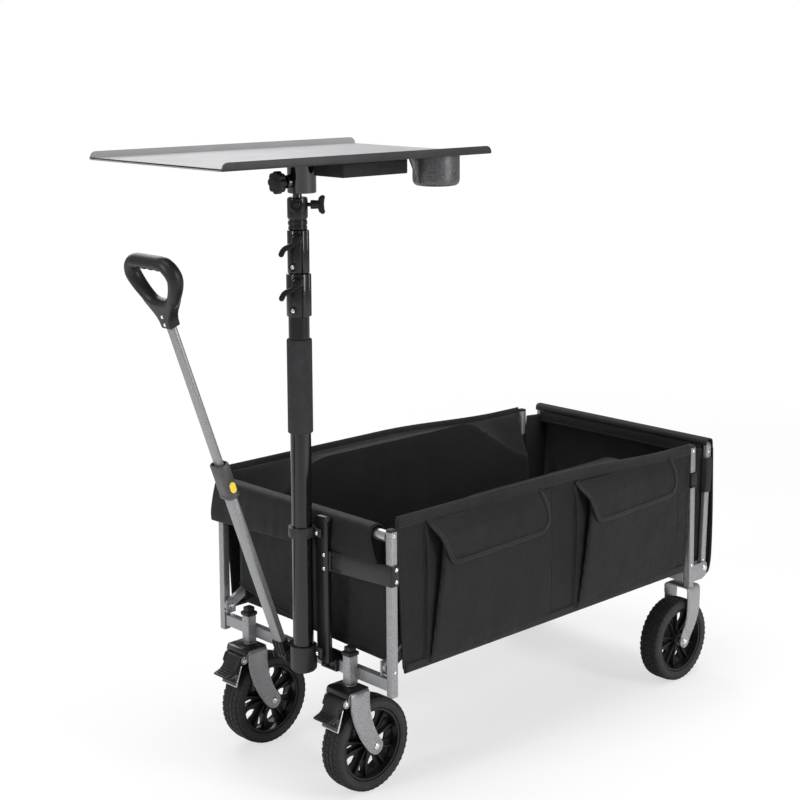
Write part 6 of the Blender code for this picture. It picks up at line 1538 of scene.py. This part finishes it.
def flapBorder(pocket, inset, lift, count=26):
    # the flap's free edge from its front top corner round to its rear top corner, moved inwards by inset
    high, low = pocket["flap"]
    heights = [high + (low - high) * (i / (count - 1)) ** 0.6 for i in range(count)]
    line = [(flapEdges(pocket, z)[0], z) for z in heights]
    rear = [(flapEdges(pocket, z)[1], z) for z in heights[::-1]]
    start, end = line[-1][0], rear[0][0]
    line += [(start + (end - start) * i / 16, low) for i in range(1, 16)] + rear
    moved = []
    for i, (x, z) in enumerate(line):
        ahead = heading(line, i)
        if not ahead.length:
            ahead = Vector((1, 0))
        px, pz = x + ahead.y * inset, z - ahead.x * inset
        moved.append((px, flapOut(pocket, px, pz) + lift, pz))
    return moved


def borderBand(pocket, wide, lift):
    # the binding tape along the flap's edge
    lines = [flapBorder(pocket, wide * k / 4, lift * (1.0 if 0 < k < 4 else 0.35)) for k in range(5)]
    count = len(lines[0])
    obj = gridSheet(count - 1, 4, lambda u, v: lines[round(v * 4)][round(u * (count - 1))])
    return thicken(obj, 0.0010, 0.0)


def wallLine(points, lift=0.0006):
    return [(x, wallOut(x, z) + lift, z) for x, z in points]


def rimSection(u):
    # the binding over the wall's top edge, from its outer face to its inner one
    x = frontTop + (rearTop - frontTop) * u
    top = rimHeight(x)
    pucker = 0.0007 * ripple((x, 0.0, 0.0), 95.0, 3.0)
    inner = bagHalf - bagShape["cloth"]
    return [(x, y, top + up) for y, up in (
        (wallOut(x, top - 0.018) + 0.0012, -0.0200), (bagHalf + 0.0020 + pucker, -0.0100),
        (bagHalf + 0.0012 + pucker, -0.0010), (bagHalf - 0.0010, 0.0016), (inner - 0.0010, 0.0004),
        (inner - 0.0018 + pucker, -0.0090), (inner - 0.0012, -0.0190))]


def hemSection(u):
    x0, x1 = wallEdges(bagHem + 0.003)
    x = x0 + (x1 - x0) * u
    pucker = 0.0006 * ripple((x, 0.0, 0.0), 80.0, 12.0)
    return [(x, y, bagHem + up) for y, up in (
        (wallOut(x, bagHem + 0.0140) + 0.0010, 0.0140), (bagHalf + 0.0020 + pucker, 0.0060),
        (bagHalf + 0.0006 + pucker, -0.0016), (bagHalf - 0.0030, -0.0022), (bagHalf - 0.0042, 0.0050))]


wallCloth = thicken(gridSheet(150, 56, wallPlace), bagShape["cloth"], -1.0)
frontTop, rearTop = wallEdges(bagShape["top"][0])[0] - 0.0005, wallEdges(bagShape["top"][1])[1] + 0.0005
rimBand = thicken(sectionSheet(150, 16, rimSection), 0.0012, 0.0)
hemBand = thicken(sectionSheet(120, 10, hemSection), 0.0012, 0.0)
bound = []
for part, rimX in ((0, 0.0), (1, -0.84)):
    # a bound edge down each end of the wall
    heights = [bagHem + 0.002 + (rimHeight(rimX) - bagHem - 0.004) * i / 39 for i in range(40)]
    bound.append(sweep([(wallEdges(z)[part], bagHalf - 0.0010, z) for z in heights], 0.0024))
threads = []
for drop, follow in ((0.0045, 0.0), (0.0165, 0.6)):
    # two seams along the rim; the lower one follows the wall's belly
    line = []
    for i in range(62):
        x = frontTop - 0.004 - 0.0135 * i
        z = rimHeight(x) - drop
        line.append((x, bagHalf + 0.0028 + (wallOut(x, z) - bagHalf) * follow, z))
    threads.append(stitches(line))
threads.append(stitches(wallLine([(-0.034 - 0.0130 * i, bagHem + 0.0105) for i in range(61)], 0.0018)))
pouches, flaps, bindings = [], [], []
for pocket in pockets:
    pouches.append(pouch(pocket))
    flaps.append(flap(pocket))
    bindings.append(borderBand(pocket, 0.0095, 0.0008))
    threads.append(stitches(flapBorder(pocket, 0.0078, 0.0014)))
    high, low = pocket["flap"]
    front, rear = flapEdges(pocket, high)
    across = [front + (rear - front) * i / 20 for i in range(21)]
    threads.append(stitches([(x, flapOut(pocket, x, high - 0.004) + 0.0003, high - 0.004) for x in across]))
    for x, shift in zip(pocket["seams"], (0.0035, -0.0030)):
        threads.append(stitches(wallLine([(x + shift, pocket["low"] + 0.010 + 0.24 * i / 12) for i in range(13)],
                                         0.0010)))
    heights = [pocket["low"] + (pocket["high"] - pocket["low"]) * i / 30 for i in range(31)]
    bindings.append(sweep(wallLine([(pocket["seams"][0], z) for z in heights]), 0.0012, False, 2))
madeLeft = {"wall": wallCloth, "rim": rimBand, "hem": hemBand, "edging": joinPieces("edging", bound),
            "thread": joinPieces("thread", threads), "binding": joinPieces("binding", bindings)}
for i in (1, 2):
    madeLeft["pocket_%d" % i] = pouches[i - 1]
    madeLeft["flap_%d" % i] = flaps[i - 1]


def liningSection(u):
    # up from the mat's edge inside the links, over their tops and out to the rim
    x = -0.0200 - 0.8110 * u
    ahead = min(-x, x + 0.851)
    top = rimHeight(x)
    over = 0.4150 + 0.1015 * easeStep(ahead, 0.0, 0.24)
    wave = 0.0022 * (1 + ripple((x, 0.0, 0.4), 12.0, 2.0)) + 0.0008 * ripple((x, 0.0, 0.1), 48.0, 4.0)
    return [(x, y, z) for y, z in (
        (0.2042, 0.2665), (0.2064 - wave * 0.3, 0.2720), (0.2080 - wave, 0.2950),
        (0.2080 - wave * 1.3, (0.295 + over) / 2), (0.2080 - wave * 0.6, over - 0.0060), (0.2110, over),
        (0.2250, over + (top - 0.0120 - over) * 0.42),
        (0.2400, top - 0.0150), (0.2462, top - 0.0110))]


madeLeft["lining"] = thicken(sectionSheet(120, 48, liningSection), 0.0016, 0.0)
mirror = Matrix.Scale(-1, 4, (0, 1, 0))
made = {"left": madeLeft, "right": {key: copyPiece(obj, mirror) for key, obj in madeLeft.items()}}
looks = {"rim": hemCloth, "hem": hemCloth, "edging": hemCloth, "thread": threadLook, "binding": hemCloth,
         "lining": liningCloth}
soft = []
for side, label in sides:
    group = made[label]
    for key, obj in group.items():
        finishPiece(obj, "bag_%s_%s_cloth" % (label, key), "front_frame", looks.get(key, bagCloth),
                    ["bag_%s_wall" % label] if key == "wall" else ())
        soft.append(obj)
print("bag walls done")


# bag front: the panel between the front posts, and the cuff that wraps the top rail
topRail = {"radius": (railHigh.z - railLow.z) / 2, "z": (railHigh.z + railLow.z) / 2}
cuffShape = {"ends": (-0.2560, 0.2065), "hem": (0.4300, 0.4395, 0.4510), "back": 0.4640, "half": 0.0148}


def threeWay(y, y0, y1, values):
    along = share(y, y0, y1)
    a, b, c = values
    return a + (b - a) * along * 2 if along < 0.5 else b + (c - b) * (along * 2 - 1)


def cuffSection(u):
    y0, y1 = cuffShape["ends"]
    y = y0 + (y1 - y0) * u
    hem = threeWay(y, y0, y1, cuffShape["hem"]) + 0.0015 * ripple((y, 0, 0), 12.0, 2.0)
    high = topRail["z"] + topRail["radius"] + 0.0034
    wave = 0.0022 * ripple((y, 0, 0.2), 16.0, 5.0) + 0.0011 * ripple((y, 0, 0.6), 45.0, 1.0)
    half = cuffShape["half"]
    knots = [(half + 0.0040 + wave * 1.3, hem), (half + 0.0050 + wave * 1.5, hem + 0.016),
             (half + 0.0036 + wave, 0.4720), (half + 0.0014 + wave * 0.5, 0.4920), (half - 0.0014, high - 0.0075),
             (half * 0.55, high - 0.0012), (0.0, high + 0.0004), (-half * 0.6, high - 0.0012),
             (-half + 0.0006, high - 0.0080), (-half - 0.0010, 0.4920),
             (-half - 0.0016 + wave * 0.4, cuffShape["back"])]
    # both ends slant: the far one inwards to its top, the near one outwards to its hem
    far, near = 0.0080 * (1 - u) ** 6, 0.0200 * u ** 8
    return [(x, y + far * easeStep(z, 0.44, 0.505) + near * (1 - easeStep(z, 0.44, 0.500)), z) for x, z in knots]


cuff = thicken(sectionSheet(150, 52, cuffSection), 0.0026, 1.0)
hemLine, seamLine, ribLine = [], [], []
for i in range(60):
    line = smoothLine(cuffSection(i / 59), 52)
    hemLine.append(line[0])
    seamLine.append(Vector(line[3]) + Vector((0.0011, 0, 0)))
    ribLine.append(Vector(line[17]) + Vector((0.0006, 0, 0)))
ends = [sweep(smoothLine(cuffSection(end), 40), 0.0020) for end in (0.0, 1.0)]
roll = finishPiece([sweep(hemLine, 0.0022), sweep(ribLine, 0.0011, False, 2)] + ends, "front_cuff_hem", "front_frame",
                   hemCloth)
seam = finishPiece([stitches(seamLine), stitches([place + Vector((0.0006, 0, -0.0042)) for place in ribLine])],
                   "front_cuff_thread", "front_frame", threadLook)
panelShape = {"half": 0.2185, "low": (0.2980, 0.2660, 0.2600), "high": 0.4980, "x": -0.0120}


def panelPlace(u, v):
    half = panelShape["half"]
    y = -half + 2 * half * u
    low = threeWay(y, -half, half, panelShape["low"])
    z = low + (panelShape["high"] - low) * v
    inside = math.sin(math.pi * u) ** 0.5 * math.sin(math.pi * v) ** 0.6
    crease = (0.0026 * ripple((0, y, z * 0.8), 11.0, 3.0) + 0.0014 * ripple((0, y * 1.4, z), 30.0, 6.0)
              + 0.0007 * ripple((0, y, z), 75.0, 2.0))
    turn = easeStep(abs(y), half - 0.014, half)
    return (panelShape["x"] - (0.0050 + crease) * inside - 0.006 * turn, y, z)


front = thicken(gridSheet(96, 60, panelPlace), 0.0024, -1.0)
hemLine = [Vector(panelPlace(i / 50, 0.012)) + Vector((0.0002, 0, 0)) for i in range(51)]
seamLine = [Vector(panelPlace(0.03 + 0.94 * i / 50, 0.060)) + Vector((0.0008, 0, 0)) for i in range(51)]
panelHem = finishPiece(sweep(hemLine, 0.0022), "front_panel_hem", "front_frame", hemCloth)
panelSeam = finishPiece(stitches(seamLine), "front_panel_thread", "front_frame", threadLook)
hungCloth(cuff, "front_cuff_cloth", "front_frame")
hungCloth(front, "front_panel_cloth", "front_frame",
          ["bag_front"])

# floor: a padded mat with stitched creases, on the folding base
floorShape = {"x": (-0.8240, -0.0190), "half": 0.2030, "low": 0.2655, "high": 0.2740,
              "creases": (-0.2200, -0.4210, -0.6220)}
x0, x1 = floorShape["x"]
half, low = floorShape["half"], floorShape["low"]


def matPoint(x, y, lift=0.0):
    edge = min(x - x0, x1 - x, half - abs(y))
    crown = math.sqrt(max(0.0, 1.0 - (1.0 - min(edge / 0.012, 1.0)) ** 2))
    dip = max(math.exp(-((x - place) / 0.008) ** 2) for place in floorShape["creases"])
    soft = 0.0008 * ripple((x, y, 0), 9.0, 3.0)
    rise = (floorShape["high"] - low - 0.0030) * crown * (1 - 0.65 * dip)
    return (x, y, low + 0.0030 + rise + soft * crown + lift)


mat = gridSheet(150, 70, lambda u, v: matPoint(x0 + (x1 - x0) * u, half * (2 * v - 1)))
editAll(mat)
bpy.ops.mesh.extrude_region_move(TRANSFORM_OT_translate={"value": (0, 0, -0.002)})
leaveEdit()
for vertex in mat.data.vertices:
    if vertex.select:
        vertex.co.z = low
finishPiece(smooth(mergeDoubles(mat), 60), "bag_floor_mat", "front_frame", liningCloth, ["bag_floor"])
matThread = finishPiece([stitches([matPoint(x, -0.195 + 0.39 * i / 30, 0.0003) for i in range(31)])
                         for x in floorShape["creases"]],
                        "bag_floor_thread", "front_frame", threadLook)
for obj in soft + [mat, matThread]:
    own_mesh(obj)
for end in ("front", "rear"):
    for name in ("rising_link_%s_left", "rising_link_%s_right", "floor_stay_%s"):
        dress(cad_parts[name % end], greyPaint)
dress(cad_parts["front_top_rail"], zincSteel)
print("bag front, floor and links done")


# camera where the photograph was taken, soft studio light, pale floor
deselectAll()
cameraShape = {"place": (2.17152, 2.3307, 1.3608), "yaw": math.radians(224.86), "pitch": math.radians(-7.39),
               "lens": 74.4, "shift": (-0.0983, -0.1828)}
yaw, pitch = cameraShape["yaw"], cameraShape["pitch"]
bpy.ops.object.camera_add(location=cameraShape["place"])
camera = bpy.context.object
look = Vector((math.cos(pitch) * math.cos(yaw), math.cos(pitch) * math.sin(yaw), math.sin(pitch)))
camera.rotation_euler = look.to_track_quat("-Z", "Y").to_euler()
camera.data.lens = cameraShape["lens"]
camera.data.sensor_width = 36.0
camera.data.shift_x, camera.data.shift_y = cameraShape["shift"]
camera.data.clip_end = 60.0
bpy.context.scene.camera = camera

bpy.ops.mesh.primitive_plane_add(size=24.0, location=(0, 0, 0))
ground = bpy.context.object
ground.name = "floor"
paper, tree, shader = newMaterial("studioFloor", (0.80, 0.80, 0.80), 0.85)
tint(tree, shader, objectNoise(tree, 3.0, 4.0), (0.795, 0.795, 0.797), (0.815, 0.815, 0.817), 0.3, 0.7)
# the camera sees the floor partly lit from within, so that it goes to white far off and keeps its shadows near
glow = addNode(tree, "Emission", {"Color": (1.0, 1.0, 1.0, 1), "Strength": 1.02})
seenBy = addNode(tree, "LightPath")
spot = addNode(tree, "TexCoord")
reach = addNode(tree, "VectorMath", operation="LENGTH")
fade = addNode(tree, "MapRange", {"From Min": 1.1, "From Max": 3.6, "To Min": 0.62, "To Max": 1.0})
glowShare = addNode(tree, "Math", operation="MULTIPLY")
blendIn = addNode(tree, "MixShader")
for start, end in ((spot.outputs["Object"], reach.inputs[0]), (reach.outputs["Value"], fade.inputs["Value"]),
                   (seenBy.outputs["Is Camera Ray"], glowShare.inputs[0]),
                   (fade.outputs["Result"], glowShare.inputs[1]),
                   (glowShare.outputs["Value"], blendIn.inputs["Fac"]), (shader.outputs["BSDF"], blendIn.inputs[1]),
                   (glow.outputs["Emission"], blendIn.inputs[2]),
                   (blendIn.outputs["Shader"], tree.nodes["Material Output"].inputs["Surface"])):
    tree.links.new(start, end)
dress(ground, paper)

# the dome lights the scene softly, and the camera sees plain white in its place
world = bpy.data.worlds.new("studio")
bpy.context.scene.world = world
world.use_nodes = True
tree = world.node_tree
dome = tree.nodes["Background"]
dome.inputs["Color"].default_value = (0.94, 0.96, 1.0, 1)
dome.inputs["Strength"].default_value = 0.42
seen = addNode(tree, "Background", {"Color": (1.0, 1.0, 1.0, 1), "Strength": 1.0})
rays = addNode(tree, "LightPath")
mix = addNode(tree, "MixShader")
for start, end in ((rays.outputs["Is Camera Ray"], mix.inputs["Fac"]), (dome.outputs["Background"], mix.inputs[1]),
                   (seen.outputs["Background"], mix.inputs[2]),
                   (mix.outputs["Shader"], tree.nodes["World Output"].inputs["Surface"])):
    tree.links.new(start, end)


def softbox(name, place, size, power, color=(1, 1, 1)):
    bpy.ops.object.light_add(type="AREA", location=place)
    lamp = bpy.context.object
    lamp.name = name
    lamp.data.shape = "RECTANGLE"
    lamp.data.size, lamp.data.size_y = size
    lamp.data.energy = power
    lamp.data.color = color
    aim = Vector((0.0, 0.0, 0.55)) - Vector(place)
    lamp.rotation_euler = aim.to_track_quat("-Z", "Y").to_euler()


softbox("overhead", (0.2, 0.2, 3.6), (2.6, 2.4), 95.0)
softbox("rightStrip", (-0.9, 3.4, 1.7), (0.7, 2.2), 60.0, (1.0, 0.99, 0.97))
softbox("leftStrip", (3.6, -0.3, 1.9), (0.6, 2.0), 52.0, (0.97, 0.98, 1.0))
softbox("farRim", (-0.9, -3.0, 2.4), (2.2, 1.6), 40.0)
bpy.context.scene.view_settings.view_transform = "Standard"
bpy.context.scene.view_settings.look = "None"
bpy.context.scene.view_settings.exposure = 0.0
print("camera and lights done")
